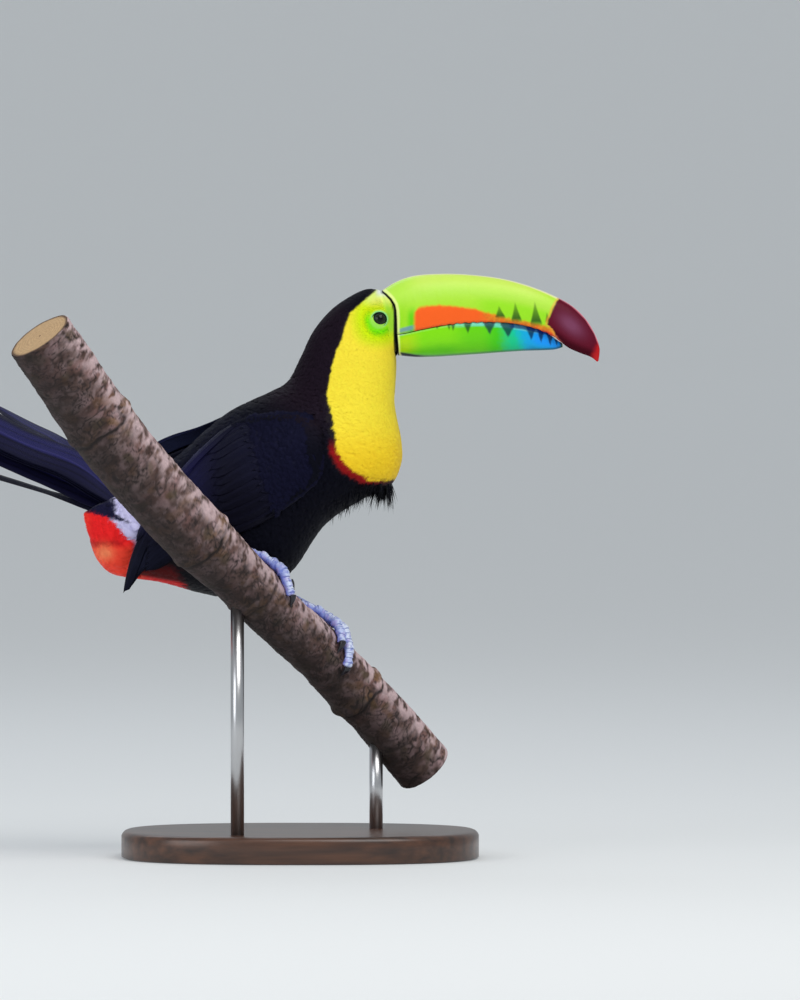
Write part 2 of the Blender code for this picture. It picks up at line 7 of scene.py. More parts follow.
import math

import bpy
import numpy as np
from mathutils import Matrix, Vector
from mathutils.bvhtree import BVHTree
from mathutils.kdtree import KDTree

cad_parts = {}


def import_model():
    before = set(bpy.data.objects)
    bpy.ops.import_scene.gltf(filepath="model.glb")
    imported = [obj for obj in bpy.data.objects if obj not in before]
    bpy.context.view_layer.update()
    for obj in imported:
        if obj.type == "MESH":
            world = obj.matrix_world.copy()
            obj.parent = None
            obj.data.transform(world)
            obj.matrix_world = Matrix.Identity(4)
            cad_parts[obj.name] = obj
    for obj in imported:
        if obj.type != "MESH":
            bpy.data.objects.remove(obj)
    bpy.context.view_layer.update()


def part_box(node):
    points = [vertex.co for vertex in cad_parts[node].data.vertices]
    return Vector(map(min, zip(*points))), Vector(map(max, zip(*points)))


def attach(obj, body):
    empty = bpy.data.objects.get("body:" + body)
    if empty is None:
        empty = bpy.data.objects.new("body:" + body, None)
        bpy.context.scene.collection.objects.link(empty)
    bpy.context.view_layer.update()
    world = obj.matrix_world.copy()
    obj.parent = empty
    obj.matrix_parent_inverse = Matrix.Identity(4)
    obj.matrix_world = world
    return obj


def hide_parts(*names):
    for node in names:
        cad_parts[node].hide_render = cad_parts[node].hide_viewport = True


MM = 0.001
RIGHT, LEFT = -1, 1  # the sign of Y on each side of the bird
SIDES = (("right", RIGHT), ("left", LEFT))

# ---------------------------------------------------------------- the bird's forms, as in the CAD

# Back line (x, z), belly line (x, z), half width, roll in degrees; from the face to the vent.
BODY = (
    (54.3, 380.6, 64.3, 336.6, 19.8, 0),
    (44.2, 381.0, 64.5, 331.0, 22.4, 0),
    (32.2, 375.4, 64.3, 323.6, 24.6, 0),
    (20.1, 366.5, 63.7, 314.2, 25.6, 0),
    (8.7, 352.4, 63.3, 304.9, 26.2, 0),
    (0.0, 334.3, 65.0, 294.1, 28.2, 0),
    (-8.0, 319.6, 67.9, 279.4, 32.0, 2),
    (-18.8, 312.9, 67.9, 264.7, 36.0, 4),
    (-32.2, 306.9, 60.5, 249.5, 39.0, 6),
    (-47.2, 299.3, 41.0, 240.0, 41.0, 7),
    (-63.7, 286.6, 16.4, 223.0, 42.0, 9),
    (-79.1, 272.8, -5.0, 192.5, 41.0, 11),
    (-91.8, 263.5, -30.2, 172.0, 38.0, 14),
    (-101.8, 255.0, -63.7, 177.0, 33.5, 18),
    (-111.2, 248.5, -93.8, 185.4, 28.5, 22),
    (-120.5, 244.2, -124.0, 190.0, 23.0, 26),
    (-135.0, 237.0, -135.0, 199.5, 15.0, 28),
    (-145.5, 231.0, -139.5, 211.0, 6.0, 28),
)
BODY_END = len(BODY) - 1.0

# Culmen (x, z), cutting edge (x, z), half width; then cutting edge, gonys, half width.
BILL_UPPER = (
    (54.7, 380.2, 64.0, 351.0, 18.6),
    (64.7, 386.4, 72.0, 352.6, 18.2),
    (77.5, 390.4, 82.0, 354.8, 17.4),
    (96.7, 391.6, 97.0, 357.6, 16.2),
    (115.9, 390.8, 114.0, 359.3, 14.8),
    (135.2, 388.3, 131.0, 359.5, 13.2),
    (152.0, 383.9, 146.0, 358.1, 11.5),
    (168.0, 377.8, 160.0, 354.4, 9.7),
    (181.5, 370.6, 171.0, 348.9, 7.9),
    (191.0, 361.8, 179.5, 342.4, 6.0),
    (197.2, 352.0, 187.5, 338.7, 4.2),
    (200.8, 342.0, 194.8, 335.9, 2.4),
    (200.2, 333.4, 199.2, 332.6, 0.6),
)
BILL_LOWER = (
    (64.2, 350.4, 65.4, 337.0, 18.4),
    (72.0, 352.0, 77.5, 335.9, 18.0),
    (82.0, 354.2, 90.0, 336.0, 17.2),
    (97.0, 357.0, 104.0, 336.8, 15.8),
    (114.0, 358.7, 119.0, 337.8, 14.2),
    (131.0, 358.9, 135.2, 339.0, 12.2),
    (146.0, 357.5, 149.0, 339.9, 9.8),
    (160.0, 353.8, 162.0, 340.3, 6.8),
    (169.5, 349.0, 170.5, 340.8, 4.0),
    (176.0, 343.8, 176.0, 342.4, 0.8),
)
BILL_ROUNDNESS = 0.78

# Upper edge (x, z, distance from the midline), lower edge (the same), bulge, thickness.
WINGS = {
    RIGHT: (
        (14.0, 292.0, 35.0, 16.5, 275.0, 38.3, 1.0, 4.0),
        (3.0, 298.6, 31.6, 13.0, 256.0, 37.8, 4.5, 8.0),
        (-18.0, 299.4, 27.4, -3.0, 240.0, 37.2, 7.5, 10.0),
        (-42.0, 295.2, 20.0, -24.0, 225.5, 39.3, 10.5, 10.0),
        (-61.6, 279.4, 22.6, -45.6, 215.0, 39.6, 8.0, 9.0),
        (-79.1, 260.6, 26.6, -63.7, 208.5, 38.0, 5.5, 7.5),
        (-93.8, 242.5, 28.8, -77.7, 203.0, 36.0, 3.5, 5.5),
        (-105.2, 225.1, 29.5, -90.5, 197.6, 34.0, 2.5, 4.0),
        (-113.2, 205.7, 29.5, -103.2, 188.9, 31.5, 1.5, 2.6),
        (-119.0, 177.5, 28.5, -118.2, 176.6, 28.5, 0.0, 1.0),
    ),
    LEFT: (
        (13.0, 294.0, 34.0, 16.5, 276.0, 38.8, 1.2, 4.0),
        (0.0, 303.0, 27.2, 12.0, 256.0, 40.2, 5.3, 8.0),
        (-21.0, 305.5, 15.8, -4.0, 240.0, 40.0, 11.2, 10.0),
        (-45.6, 299.2, 8.0, -25.5, 226.0, 42.3, 13.3, 10.0),
        (-68.3, 289.2, 10.0, -45.6, 217.0, 42.0, 10.5, 9.0),
        (-90.5, 281.2, 12.0, -65.0, 212.4, 40.0, 7.2, 7.5),
        (-107.2, 269.0, 15.0, -80.4, 208.4, 37.5, 5.5, 5.5),
        (-117.9, 251.0, 18.0, -95.2, 205.7, 34.0, 4.0, 4.0),
        (-123.0, 231.0, 21.0, -108.5, 201.0, 29.0, 2.0, 2.6),
        (-123.6, 204.8, 25.0, -122.6, 204.0, 25.0, 0.0, 1.0),
    ),
}

TAIL_ROOT = np.array((-103.2, -4.0, 229.8)) * MM
TAIL_AIM = (-0.875, 0.10, 0.474)
TAIL_ROLL = 38
TAIL_SPLAY = {RIGHT: (-1.6, 0.3), LEFT: (1.4, 2.0)}
TAIL_LENGTHS = (172, 170, 166, 158, 146)
TAIL_WIDTHS = (29, 28, 27, 25, 19)
TAIL_START = 9.0
TAIL_ARCH = 5.0  # per metre
FEATHER_LEVEL = 0.85
STRAY_SPLAY, STRAY_TURN = 14.4, 34.0
TAIL_BOW = (6.5, 58.0, 30.0)  # height, place and spread of the bow of all feathers but the stray one
SHORT_LENGTH, SWING = 134.0, (15.0, 46.0, 92.0)  # the left outermost feather, that swings outwards
LOW_SPLAY, SAG = 1.3, (3.5, 50.0, 115.0)  # the fourth right feather, the lowest of the bundle

EYE = (53.2, 17.6, 361.6)
EYE_RADIUS = 5.3

PERCH = (
    (-171.0, -132, 353.0, 22.6),
    (-155.0, -123, 329.0, 22.6),
    (-137.4, -112, 302.1, 22.8),
    (-108.5, -96, 264.0, 22.6),
    (-70.4, -75, 221.0, 22.0),
    (-41.5, -55, 191.5, 19.2),
    (-16.8, -34, 165.4, 18.4),
    (14.7, -5, 135.5, 18.4),
    (30.8, 9, 117.6, 19.0),
    (50.9, 24, 96.4, 18.8),
    (68.3, 36, 75.8, 19.6),
    (83.0, 46, 57.5, 20.0),
)
PERCH_END = len(PERCH) - 1.0
PERCH_SCARS = ((2.2, 1.3), (4.15, 1.2), (5.4, 0.7), (8.35, 1.4))

# Heel (x, y, z); sole (section, degrees); toes (section, degrees, radii at each end, arch).
FEET = {
    "right": (
        (-40.0, -20.0, 205.0),
        (5.38, 12),
        (
            (5.18, -68, 3.3, 2.5, 1.2),
            (5.84, 20, 3.4, 2.6, 2.2),
            (5.79, 68, 3.4, 2.6, 1.8),
            (4.95, -28, 3.3, 2.5, 1.4),
        ),
    ),
    "left": (
        (-30.0, 14.0, 187.0),
        (6.72, 8),
        (
            (6.38, -16, 3.4, 2.6, 1.0),
            (6.86, 70, 3.5, 2.7, 1.0),
            (7.2, 100, 3.5, 2.7, 1.2),
            (6.52, -50, 3.3, 2.6, 1.0),
        ),
    ),
}
GAP = 0.3
CLAW_LENGTH = 7.2

rng = np.random.default_rng(11)
# Turns the grid of the noise away from the axes, and mixes the numbers of its cells.
NOISE_TURN = np.array(((0.36, 0.48, -0.8), (-0.8, 0.6, 0.0), (0.48, 0.64, 0.6)))
NOISE_FACTORS = (73856093, 19349663, 83492791)


# ---------------------------------------------------------------- numbers


def unit(v):
    v = np.asarray(v, float)
    return v / np.maximum(np.linalg.norm(v, axis=-1, keepdims=True), 1e-12)


def stacked(*values):
    """The values side by side on a new last axis. Any of them may be a single number."""
    return np.stack(np.broadcast_arrays(*values), -1)


def in_mm(points):
    """The points' x, y and z, in millimetres."""
    return points[..., 0] / MM, points[..., 1] / MM, points[..., 2] / MM


def dots(a, b):
    return np.einsum("...i,...i->...", a, b)


def circle(count):
    """Angles evenly round a circle."""
    return np.linspace(0, 2 * math.pi, count, endpoint=False)


def wrapped(a):
    """Angles brought into the range from -pi to pi."""
    return np.angle(np.exp(1j * np.asarray(a)))


def grid(first, second):
    """Every pair of the values in two ranges, on a new last axis."""
    return stacked(*np.meshgrid(first, second, indexing="ij"))


def curve(table, u):
    """The table's values at each u, counted in rows, on a Catmull-Rom curve through the rows."""
    rows = np.asarray(table, float)
    last = len(rows) - 1
    u = np.clip(np.asarray(u, float), 0, last)
    i = np.minimum(u.astype(int), last - 1)
    t = (u - i)[..., None]
    before, a, b, after = rows[np.maximum(i - 1, 0)], rows[i], rows[i + 1], rows[np.minimum(i + 2, last)]
    slope_a, slope_b = (b - before) / 2, (after - a) / 2
    return (
        (2 * t**3 - 3 * t**2 + 1) * a
        + (t**3 - 2 * t**2 + t) * slope_a
        + (3 * t**2 - 2 * t**3) * b
        + (t**3 - t**2) * slope_b
    )


def ease(low, high, x):
    """0 below low and 1 above high, smooth between. It falls where high is the smaller."""
    t = np.clip((np.asarray(x, float) - low) / (high - low), 0, 1)
    return t * t * (3 - 2 * t)


def hump(x, width):
    """1 where x is 0, falling smoothly both ways, to about a third at this width from there."""
    return np.exp(-((x / width) ** 2))


def noise(points, size, seed=0):
    """Smooth gradient noise, about -1 to 1, whose features have this size in the points' unit."""
    turned = np.asarray(points, float) @ NOISE_TURN / size + 31.7 * (seed + 1)
    cell = np.floor(turned).astype(np.int64)
    f = turned - cell
    fade = f * f * f * (f * (f * 6 - 15) + 10)
    total = np.zeros(f.shape[:-1])
    for corner in np.ndindex(2, 2, 2):
        h = (seed + 1) * 2654435761
        for k in range(3):
            h = h ^ (cell[..., k] + corner[k]) * NOISE_FACTORS[k]
        h = h & 0xFFFFFFFF
        h = ((h ^ (h >> 13)) * 1274126177) & 0xFFFFFFFF
        h = ((h ^ (h >> 16)) * 2246822519) & 0xFFFFFFFF
        slope = sum(((h >> 10 * k & 1023) / 511.5 - 1) * (f[..., k] - corner[k]) for k in range(3))
        total += math.prod(fade[..., k] if corner[k] else 1 - fade[..., k] for k in range(3)) * slope
    return np.clip(total * 1.7, -1, 1)


def rgb(r, g, b):
    """Linear colour of a display colour."""
    c = np.array((r, g, b), float) / 255
    return np.where(c <= 0.04045, c / 12.92, ((c + 0.055) / 1.055) ** 2.4)


def layers(colour, *coats):
    """The colour with coats laid over it in turn, each a colour and its amount at each point."""
    for over, amount in coats:
        amount = np.clip(np.asarray(amount, float), 0, 1)[..., None]
        colour = colour * (1 - amount) + over * amount
    return colour


def to_line(x, z, line):
    """Distance in the x, z plane from each point to a polyline, in the units given."""
    best = np.full(np.shape(x), np.inf)
    for (ax, az), (bx, bz) in zip(line[:-1], line[1:]):
        dx, dz = bx - ax, bz - az
        t = np.clip(((x - ax) * dx + (z - az) * dz) / (dx * dx + dz * dz), 0, 1)
        best = np.minimum(best, np.hypot(x - ax - t * dx, z - az - t * dz))
    return best


def height_at(line, x):
    """The height at x of a line of (x, z) points that runs forwards."""
    line_x, line_z = np.array(line).T
    return np.interp(x, line_x, line_z)


def place_at(line, z):
    """The x at height z of a line of (x, z) points that runs downwards."""
    line_x, line_z = np.array(line)[::-1].T
    return np.interp(z, line_z, line_x)


# ---------------------------------------------------------------- meshes


def grid_faces(rows, columns, closed=True):
    """Triangles of a grid of points, rows by columns. The rows close round unless closed is False."""
    cells = grid(np.arange(rows - 1), np.arange(columns if closed else columns - 1))
    r, c = cells[..., 0], cells[..., 1]
    a = r * columns + c
    b = r * columns + (c + 1) % columns
    halves = stacked(a, b, b + columns), stacked(a, b + columns, a + columns)
    return np.concatenate([half.reshape(-1, 3) for half in halves])


def repeated(faces, per, count):
    """The faces of count like meshes with this many points each, one after another."""
    return (faces + (np.arange(count) * per)[:, None, None]).reshape(-1, 3)


def add_mesh(name, points, faces, material, colours=None, uvs=None, shape=None):
    """A smooth mesh object, with colours and the maps OFBake and Vane where they are given, all per point."""
    mesh = bpy.data.meshes.new(name)
    mesh.from_pydata(np.asarray(points), [], np.asarray(faces))
    mesh.validate()
    if colours is not None:
        rgba = np.ones((len(points), 4), np.float32)
        rgba[:, :3] = colours
        mesh.color_attributes.new("Col", "FLOAT_COLOR", "POINT").data.foreach_set("color", rgba.ravel())
    corner = np.empty(len(mesh.loops), np.int32)
    mesh.loops.foreach_get("vertex_index", corner)
    for label, values in (("OFBake", uvs), ("Vane", shape)):
        if values is not None:
            layer = mesh.uv_layers.new(name=label)
            layer.data.foreach_set("uv", np.asarray(values, np.float32)[corner].ravel())
    mesh.shade_smooth()
    mesh.materials.append(material)
    made = bpy.data.objects.new(name, mesh)
    bpy.context.scene.collection.objects.link(made)
    return made


def stand_in(name, mesh, material, replaced, slot):
    """Adds a mesh, given as points, faces and maybe colours, that replaces one CAD node."""
    points, faces, *colours = mesh
    piece = add_mesh(name, points, faces, material, *colours)
    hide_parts(replaced)
    return piece, slot


def outward(points, faces):
    """The faces, turned over if the closed mesh they make is inside out."""
    a, b, c = (points[faces[:, k]] for k in range(3))
    return faces if dots(a, np.cross(b, c)).sum() > 0 else faces[:, ::-1]


def capped(rings, colours=None):
    """Points and faces of a closed tube of rings, with a fan over each end, and its colours if given."""
    rows, columns = rings.shape[:2]
    points = np.concatenate([rings.reshape(-1, 3), [rings[0].mean(0), rings[-1].mean(0)]])
    ring = np.arange(columns)
    following = (ring + 1) % columns
    last, start, end = (rows - 1) * columns, rows * columns, rows * columns + 1
    fans = stacked(following, ring, start), stacked(ring + last, following + last, end)
    faces = outward(points, np.concatenate([grid_faces(rows, columns), *fans]))
    if colours is None:
        return points, faces
    colours = colours.reshape(-1, 3)
    return points, faces, np.concatenate([colours, colours[:1], colours[-1:]])


def join(parts):
    """Joins meshes, each given as points, faces and any more arrays, into one in the same form."""
    starts = np.cumsum([0] + [len(part[0]) for part in parts])
    points, faces, *more = zip(*parts)
    faces = [f + start for f, start in zip(faces, starts)]
    return [np.concatenate(arrays) for arrays in (points, faces, *more)]


# ---------------------------------------------------------------- surfaces


def body_lines(u):
    """The body's row of the table at sections u, and points on its back and its belly, in metres."""
    row = curve(BODY, u) * MM
    return row, stacked(row[..., 0], 0, row[..., 1]), stacked(row[..., 2], 0, row[..., 3])


def body_surface(u, a):
    """Points of the body at sections u and angles a, from 0 on the back to +-pi on the belly."""
    row, back, belly = body_lines(u)
    up = (back - belly) / 2
    height = np.linalg.norm(up, axis=-1)
    up = unit(up)
    across = np.array((0.0, 1.0, 0.0))
    turn = np.radians(row[..., 5] / MM)[..., None]
    tilted_up = up * np.cos(turn) - across * np.sin(turn)
    tilted_across = across * np.cos(turn) + up * np.sin(turn)
    side = np.sin(a) * row[..., 4] * (1 - 0.07 * np.cos(a))
    middle = (back + belly) / 2
    return middle + tilted_up * (np.cos(a) * height)[..., None] + tilted_across * side[..., None]


def body_inside(q):
    _, back, belly = body_lines(q[..., 0])
    return (back + belly) / 2


def wing_lines(side, u):
    """The same for a folded wing, with points on its upper and its lower edge."""
    row = curve(WINGS[side], u) * MM
    upper = stacked(row[..., 0], side * row[..., 2], row[..., 1])
    return row, upper, stacked(row[..., 3], side * row[..., 5], row[..., 4])


def wing_surface(side):
    """The outer face of a folded wing: u runs from the wrist to the tip, v from upper to lower edge."""

    def middle(u, v):
        row, upper, lower = wing_lines(side, u)
        v = np.asarray(v)[..., None]
        point = upper + (lower - upper) * v
        point[..., 1:2] += side * row[..., 6:7] * 4 * v * (1 - v)
        return point, np.maximum(row[..., 7], 0.8 * MM)

    def surface(u, v):
        v = np.clip(v, 0.02, 0.98)
        point, thick = middle(u, v)
        e = 1e-3
        du = middle(u + e, v)[0] - middle(u - e, v)[0]
        dv = middle(u, v + e)[0] - middle(u, v - e)[0]
        n = unit(np.cross(du, dv))
        n *= np.sign(n[..., 1:2] * side + 1e-9)
        bow = np.sqrt(4 * v * (1 - v))
        return point + n * (bow * thick / 2)[..., None]

    return surface


def wing_inside(side):
    def inside(q):
        _, upper, lower = wing_lines(side, q[..., 0])
        return (upper + lower) / 2 * (1, 0, 1)

    return inside


class Sheet:
    """A surface with two parameters, that can be walked on in metres."""

    def __init__(self, surface, low, high, inside):
        self.surface, self.low, self.high = surface, np.array(low, float), np.array(high, float)
        self.inside = inside  # gives a point on the inner side, from which the normal points away

    def frame(self, p):
        """Point, the two slopes and the outward normal at parameters p, straight on past the edges."""
        p = np.asarray(p, float)
        q = np.clip(p, self.low + 2e-3, self.high - 2e-3)
        e = 1e-3
        u, v = q[..., 0], q[..., 1]
        point = self.surface(u, v)
        slope_u = (self.surface(u + e, v) - self.surface(u - e, v)) / (2 * e)
        slope_v = (self.surface(u, v + e) - self.surface(u, v - e)) / (2 * e)
        n = unit(np.cross(slope_u, slope_v))
        n = n * np.sign(dots(n, point - self.inside(q)))[..., None]
        over = p - q
        point = point + slope_u * over[..., :1] + slope_v * over[..., 1:]
        return point, slope_u, slope_v, n

    def walk(self, p, direction):
        """The slopes at p, and the ways ahead and aside for an angle from the first slope."""
        _, su, sv, n = self.frame(p)
        t = unit(su)
        b = np.cross(n, t)
        turn_c, turn_s = np.cos(direction)[..., None], np.sin(direction)[..., None]
        return su, sv, t * turn_c + b * turn_s, b * turn_c - t * turn_s

    def steps(self, su, sv, move):
        """The change of parameters that makes the move, a vector in the surface."""
        uu, vv, uv = dots(su, su), dots(sv, sv), dots(su, sv)
        mu, mv = dots(su, move), dots(sv, move)
        det = np.maximum(uu * vv - uv * uv, 1e-16)
        return stacked((vv * mu - uv * mv) / det, (uu * mv - uv * mu) / det)


BODY_SHEET = Sheet(body_surface, (0, -9), (BODY_END, 9), body_inside)
WING_SHEETS = {
    side: Sheet(wing_surface(side), (0, 0.02), (len(table) - 1, 0.98), wing_inside(side))
    for side, table in WINGS.items()
}

# ---------------------------------------------------------------- plumage colours

BIB_EDGE = (
    (52.5, 384.0), (50.9, 380.6), (42.9, 373.9), (33.5, 365.8), (30.2, 356.4), (28.1, 348.4), (24.8, 341.7),
    (21.4, 329.6), (18.8, 317.6), (18.1, 309.5), (21.4, 298.8), (23.5, 286.8), (24.8, 273.4),
    (32.2, 262.6), (44.2, 255.9), (60.3, 253.3), (72.0, 256.0),
)
BIB_LOW = 253.2
BLACK, NAPE, BACK = rgb(12, 12, 20), rgb(30, 20, 29), rgb(15, 16, 32)
YELLOW, LOW_YELLOW, LIME, GREEN = rgb(255, 233, 60), rgb(254, 215, 38), rgb(212, 240, 0), rgb(112, 226, 0)
# On the next line, the white is greyed and blued with painted shade, and the deep red is painted shade in a
# crease.
RED, DEEP_RED, ORANGE_RED, SHADED_WHITE = rgb(236, 28, 30), rgb(120, 12, 18), rgb(255, 68, 48), rgb(204, 200, 238)
PALE_FACE, FRONT_FACE, BAND = rgb(236, 255, 140), rgb(150, 214, 50), rgb(3, 4, 4)
# The pale red on the next line is a painted highlight on the vent.
RED_HIGHLIGHT, TAIL_ROOTS = rgb(255, 150, 100), rgb(13, 12, 46)


def eye_distance(points):
    """Distance from the middle of the eye, seen from the side, in millimetres."""
    x, _, z = in_mm(points)
    return np.hypot(x - EYE[0], z - EYE[2])


def bib_depth(points):
    """Distance from the edge of the yellow bib in millimetres, below 0 outside it."""
    x, _, z = in_mm(points)
    inside = (x > place_at(BIB_EDGE[:-2], z)) & (z > BIB_LOW)
    return np.where(inside, 1, -1) * to_line(x, z, BIB_EDGE)


def eye_green(colour, x, z, wobble):
    """Adds the green round the eye: deepest below and behind it, pale before and above it, soft all round."""
    dx, dz = x - EYE[0], z - EYE[2]
    r = np.hypot(dx, dz * (1 - 0.12 * ease(0, -8, dz))) + wobble * 0.6
    return layers(
        colour,
        (LIME, ease(24, 11, r) * ease(336, 350, z) * 0.95),
        (GREEN, ease(11.8, 7.2, r) * ease(6, -7, dz + dx * 0.55) * 0.9),
        (FRONT_FACE, ease(3, 7, dx + dz * 0.2) * ease(15, 9, r) * 0.9),
        (PALE_FACE, ease(368, 377, z) * ease(38, 48, x) * 0.85),
        (rgb(240, 246, 250), ease(375, 380, z) * ease(49.5, 53, x) * 0.9),
    )


def plumage(points, u, a):
    """Colour of the feathers at points of the body whose section is u and angle a."""
    x, _, z = in_mm(points)
    wobble = noise(points, 3 * MM, 1) * 0.8 + noise(points, 1.2 * MM, 2) * 0.5
    wobble = wobble * (1 - 0.6 * ease(300, 335, z))
    depth = bib_depth(points) + wobble
    a = np.abs(wrapped(a))
    yellow = eye_green(layers(YELLOW, (LOW_YELLOW, ease(300, 262, z))), x, z, wobble)
    band = layers(rgb(156, 14, 18), (rgb(52, 6, 18), ease(42, 62, x)))
    band_reach = 2.3 * ease(40, 60, x)

    # Rump and vent: white above and red below, under a line that falls towards the head.
    # The white is greyed and blued with painted shade from the tail.
    line = z + 1.165 * x - 81.0 + wobble * 1.5
    white = ease(12.6, 13.2, u + wobble * 0.1) * ease(1.6, 1.4, a) * ease(-0.8, 0.8, line)
    vent = ease(13.25, 13.55, u + wobble * 0.12) * ease(1.75, 2.05, a)
    vent = np.maximum(vent, ease(12.9, 13.3, u) * ease(0.8, -0.8, line))
    fold = z - 211.5 - (x + 130) * 0.06 + wobble * 1.6
    red = layers(
        RED,
        (ORANGE_RED, ease(212, 206, z + wobble) * ease(-100, -108, x)),
        (ORANGE_RED, ease(-139, -145, x + wobble) * 0.8),
        # Painted highlight on the lower lobe.
        (RED_HIGHLIGHT, hump(x + 131, 6) * hump(z - 205, 5.5) * 0.8),
        # Painted shade in the crease between the two lobes.
        (DEEP_RED, hump(fold, 1.6) * ease(-116, -122, x) * 0.45),
        # Painted shade on the red under the wing.
        (rgb(50, 10, 12), ease(1.0, 4.0, z - 190 + 0.17 * (x + 124)) * ease(-115, -107, x) * 0.92),
    )
    # The dark roots of the tail's lower feathers lie over the rump.
    edge = np.interp(z, (225.0, 231.2, 242.0), (-112.0, -122.6, -124.0))
    roots = ease(0.7, -0.7, x - edge + wobble) * ease(-0.7, 0.7, z - 225.3 + 0.224 * (x + 112.6) + wobble)
    return layers(
        BLACK,
        (NAPE, ease(1.5, 3, u) * ease(8.5, 6.5, u) * ease(1.9, 1.2, a) * 0.9),
        (BACK, ease(8, 10, u) * ease(1.4, 0.8, a)),
        (band, ease(-6.0, -3.4, depth - band_reach) * ease(284, 272, z) * 0.92),
        (yellow, ease(-0.7, 0.7, depth)),
        (red, vent),
        (SHADED_WHITE, white),
        (TAIL_ROOTS, roots * ease(13.8, 14.2, u)),
    )


# ---------------------------------------------------------------- materials

SPECULAR = "Specular IOR Level"
# Values of the shader, then the spread and scale of the noise over the point colours where there
# are such, then the scale, strength, depth and detail of the bump.
MATERIALS = {
    "plumage_bright": (
        {"Roughness": 0.65, "Sheen Weight": 0.10, "Sheen Roughness": 0.4, SPECULAR: 0.12}, (0.04,), (),
    ),
    "plumage_black": (
        {"Roughness": 0.55, "Sheen Roughness": 0.4, SPECULAR: 0.06, "Specular Tint": (0.55, 0.60, 1.0, 1)},
        (0.10,), (),
    ),
    "flight_feather": ({"Roughness": 0.45, SPECULAR: 0.17, "Specular Tint": (0.50, 0.52, 1.0, 1)}, (0,), ()),
    "skin": ({"Roughness": 0.6, SPECULAR: 0.15}, (0.06, 900), (1400, 0.35)),
    "foot_skin": ({"Roughness": 0.42}, (0.12, 700), (1600, 0.25)),
    "bill_horn": ({"Roughness": 0.34}, (0.03, 250), (420, 0.12, 0.0004)),
    "eye": ({"Roughness": 0.03, SPECULAR: 0.22}, (0,), ()),
    "claw_horn": ({"Roughness": 0.3, "Base Color": (*rgb(30, 29, 36), 1)}, (), (900, 0.2)),
    "bark": ({"Roughness": 0.88}, (0.28, 520), (1100, 0.6, 0.0005, 9)),
    "stand_steel": ({"Roughness": 0.28, "Metallic": 1, "Base Color": (0.55, 0.55, 0.56, 1)}, (), (300, 0.05)),
    "stand_wood": ({"Roughness": 0.36, "Coat Weight": 0.3, "Coat Roughness": 0.2}, (), ()),
}


def fill(target, sockets):
    for key, value in sockets.items():
        target.inputs[key].default_value = value


def node(tree, kind, sockets=None, **settings):
    """A new node with these settings, and these values in its input sockets."""
    made = tree.nodes.new(kind)
    for key, value in settings.items():
        setattr(made, key, value)
    fill(made, sockets or {})
    return made


def link(source, output, target, socket):
    source.id_data.links.new(source.outputs[output], target.inputs[socket])


def new_material(name, sockets):
    made = bpy.data.materials.new(name)
    made.use_nodes = True
    shader = made.node_tree.nodes["Principled BSDF"]
    fill(shader, {"Base Color": (0.5, 0.5, 0.5, 1), **sockets})
    return made, made.node_tree, shader


def paint(tree, shader, spread, scale=300.0):
    """Base colour from the point colours, made lighter and darker by noise."""
    attribute = node(tree, "ShaderNodeAttribute", attribute_name="Col")
    if not spread:
        link(attribute, "Color", shader, "Base Color")
        return
    place = node(tree, "ShaderNodeTexCoord")
    spots = node(tree, "ShaderNodeTexNoise", {"Scale": scale, "Detail": 4})
    level = node(tree, "ShaderNodeMapRange", {"To Min": 1 - spread, "To Max": 1 + spread})
    product = node(tree, "ShaderNodeVectorMath", operation="SCALE")
    link(place, "Object", spots, "Vector")
    link(spots, "Fac", level, "Value")
    link(attribute, "Color", product, 0)
    link(level, "Result", product, "Scale")
    link(product, "Vector", shader, "Base Color")


def add_bump(tree, shader, pattern, strength, depth):
    bump = node(tree, "ShaderNodeBump", {"Strength": strength, "Distance": depth})
    link(pattern, "Fac", bump, "Height")
    link(bump, "Normal", shader, "Normal")


def noise_bump(tree, shader, scale, strength, depth=0.0003, detail=6):
    place = node(tree, "ShaderNodeTexCoord")
    relief = node(tree, "ShaderNodeTexNoise", {"Scale": scale, "Detail": detail})
    link(place, "Object", relief, "Vector")
    add_bump(tree, shader, relief, strength, depth)


def add_barbs(tree, shader):
    """Slanting barbs on the vanes, which lie along their own map."""
    vane_map = node(tree, "ShaderNodeUVMap", uv_map="Vane")
    flat = node(tree, "ShaderNodeVectorMath", {1: (1.0, 1.0, 0.0)}, operation="MULTIPLY")
    waves = {"Scale": 14, "Distortion": 1.2, "Detail": 2}
    barbs = node(tree, "ShaderNodeTexWave", waves, bands_direction="X")
    link(vane_map, "UV", flat, 0)
    link(flat, "Vector", barbs, "Vector")
    add_bump(tree, shader, barbs, 0.35, 0.0003)


def add_gloss(tree, shader):
    """Gloss by colour, so that the black parts of the bill are the duller ones."""
    gloss = node(tree, "ShaderNodeMapRange", {"From Max": 0.12, "To Min": 0.02, "To Max": 0.26})
    link(tree.nodes["Attribute"], "Color", gloss, "Value")
    link(gloss, "Result", shader, SPECULAR)


def add_grain(tree, shader):
    """Wood grain along X."""
    place = node(tree, "ShaderNodeTexCoord")
    stretch = node(tree, "ShaderNodeMapping", {"Scale": (4, 60, 60)})
    grain = node(tree, "ShaderNodeTexNoise", {"Scale": 3, "Detail": 8})
    ramp = node(tree, "ShaderNodeValToRGB")
    for stop, position, colour in zip(ramp.color_ramp.elements, (0.3, 0.75), ((44, 26, 18), (96, 60, 40))):
        stop.position, stop.color = position, (*rgb(*colour), 1)
    link(place, "Object", stretch, "Vector")
    link(stretch, "Vector", grain, "Vector")
    link(grain, "Fac", ramp, "Fac")
    link(ramp, "Color", shader, "Base Color")


def make_materials():
    made = {}
    extras = {"flight_feather": add_barbs, "bill_horn": add_gloss, "stand_wood": add_grain}
    for name, (sockets, colours, bump) in MATERIALS.items():
        made[name], tree, shader = new_material(name, sockets)
        if colours:
            paint(tree, shader, *colours)
        if bump:
            noise_bump(tree, shader, *bump)
        if name in extras:
            extras[name](tree, shader)
    return made


# ---------------------------------------------------------------- skin

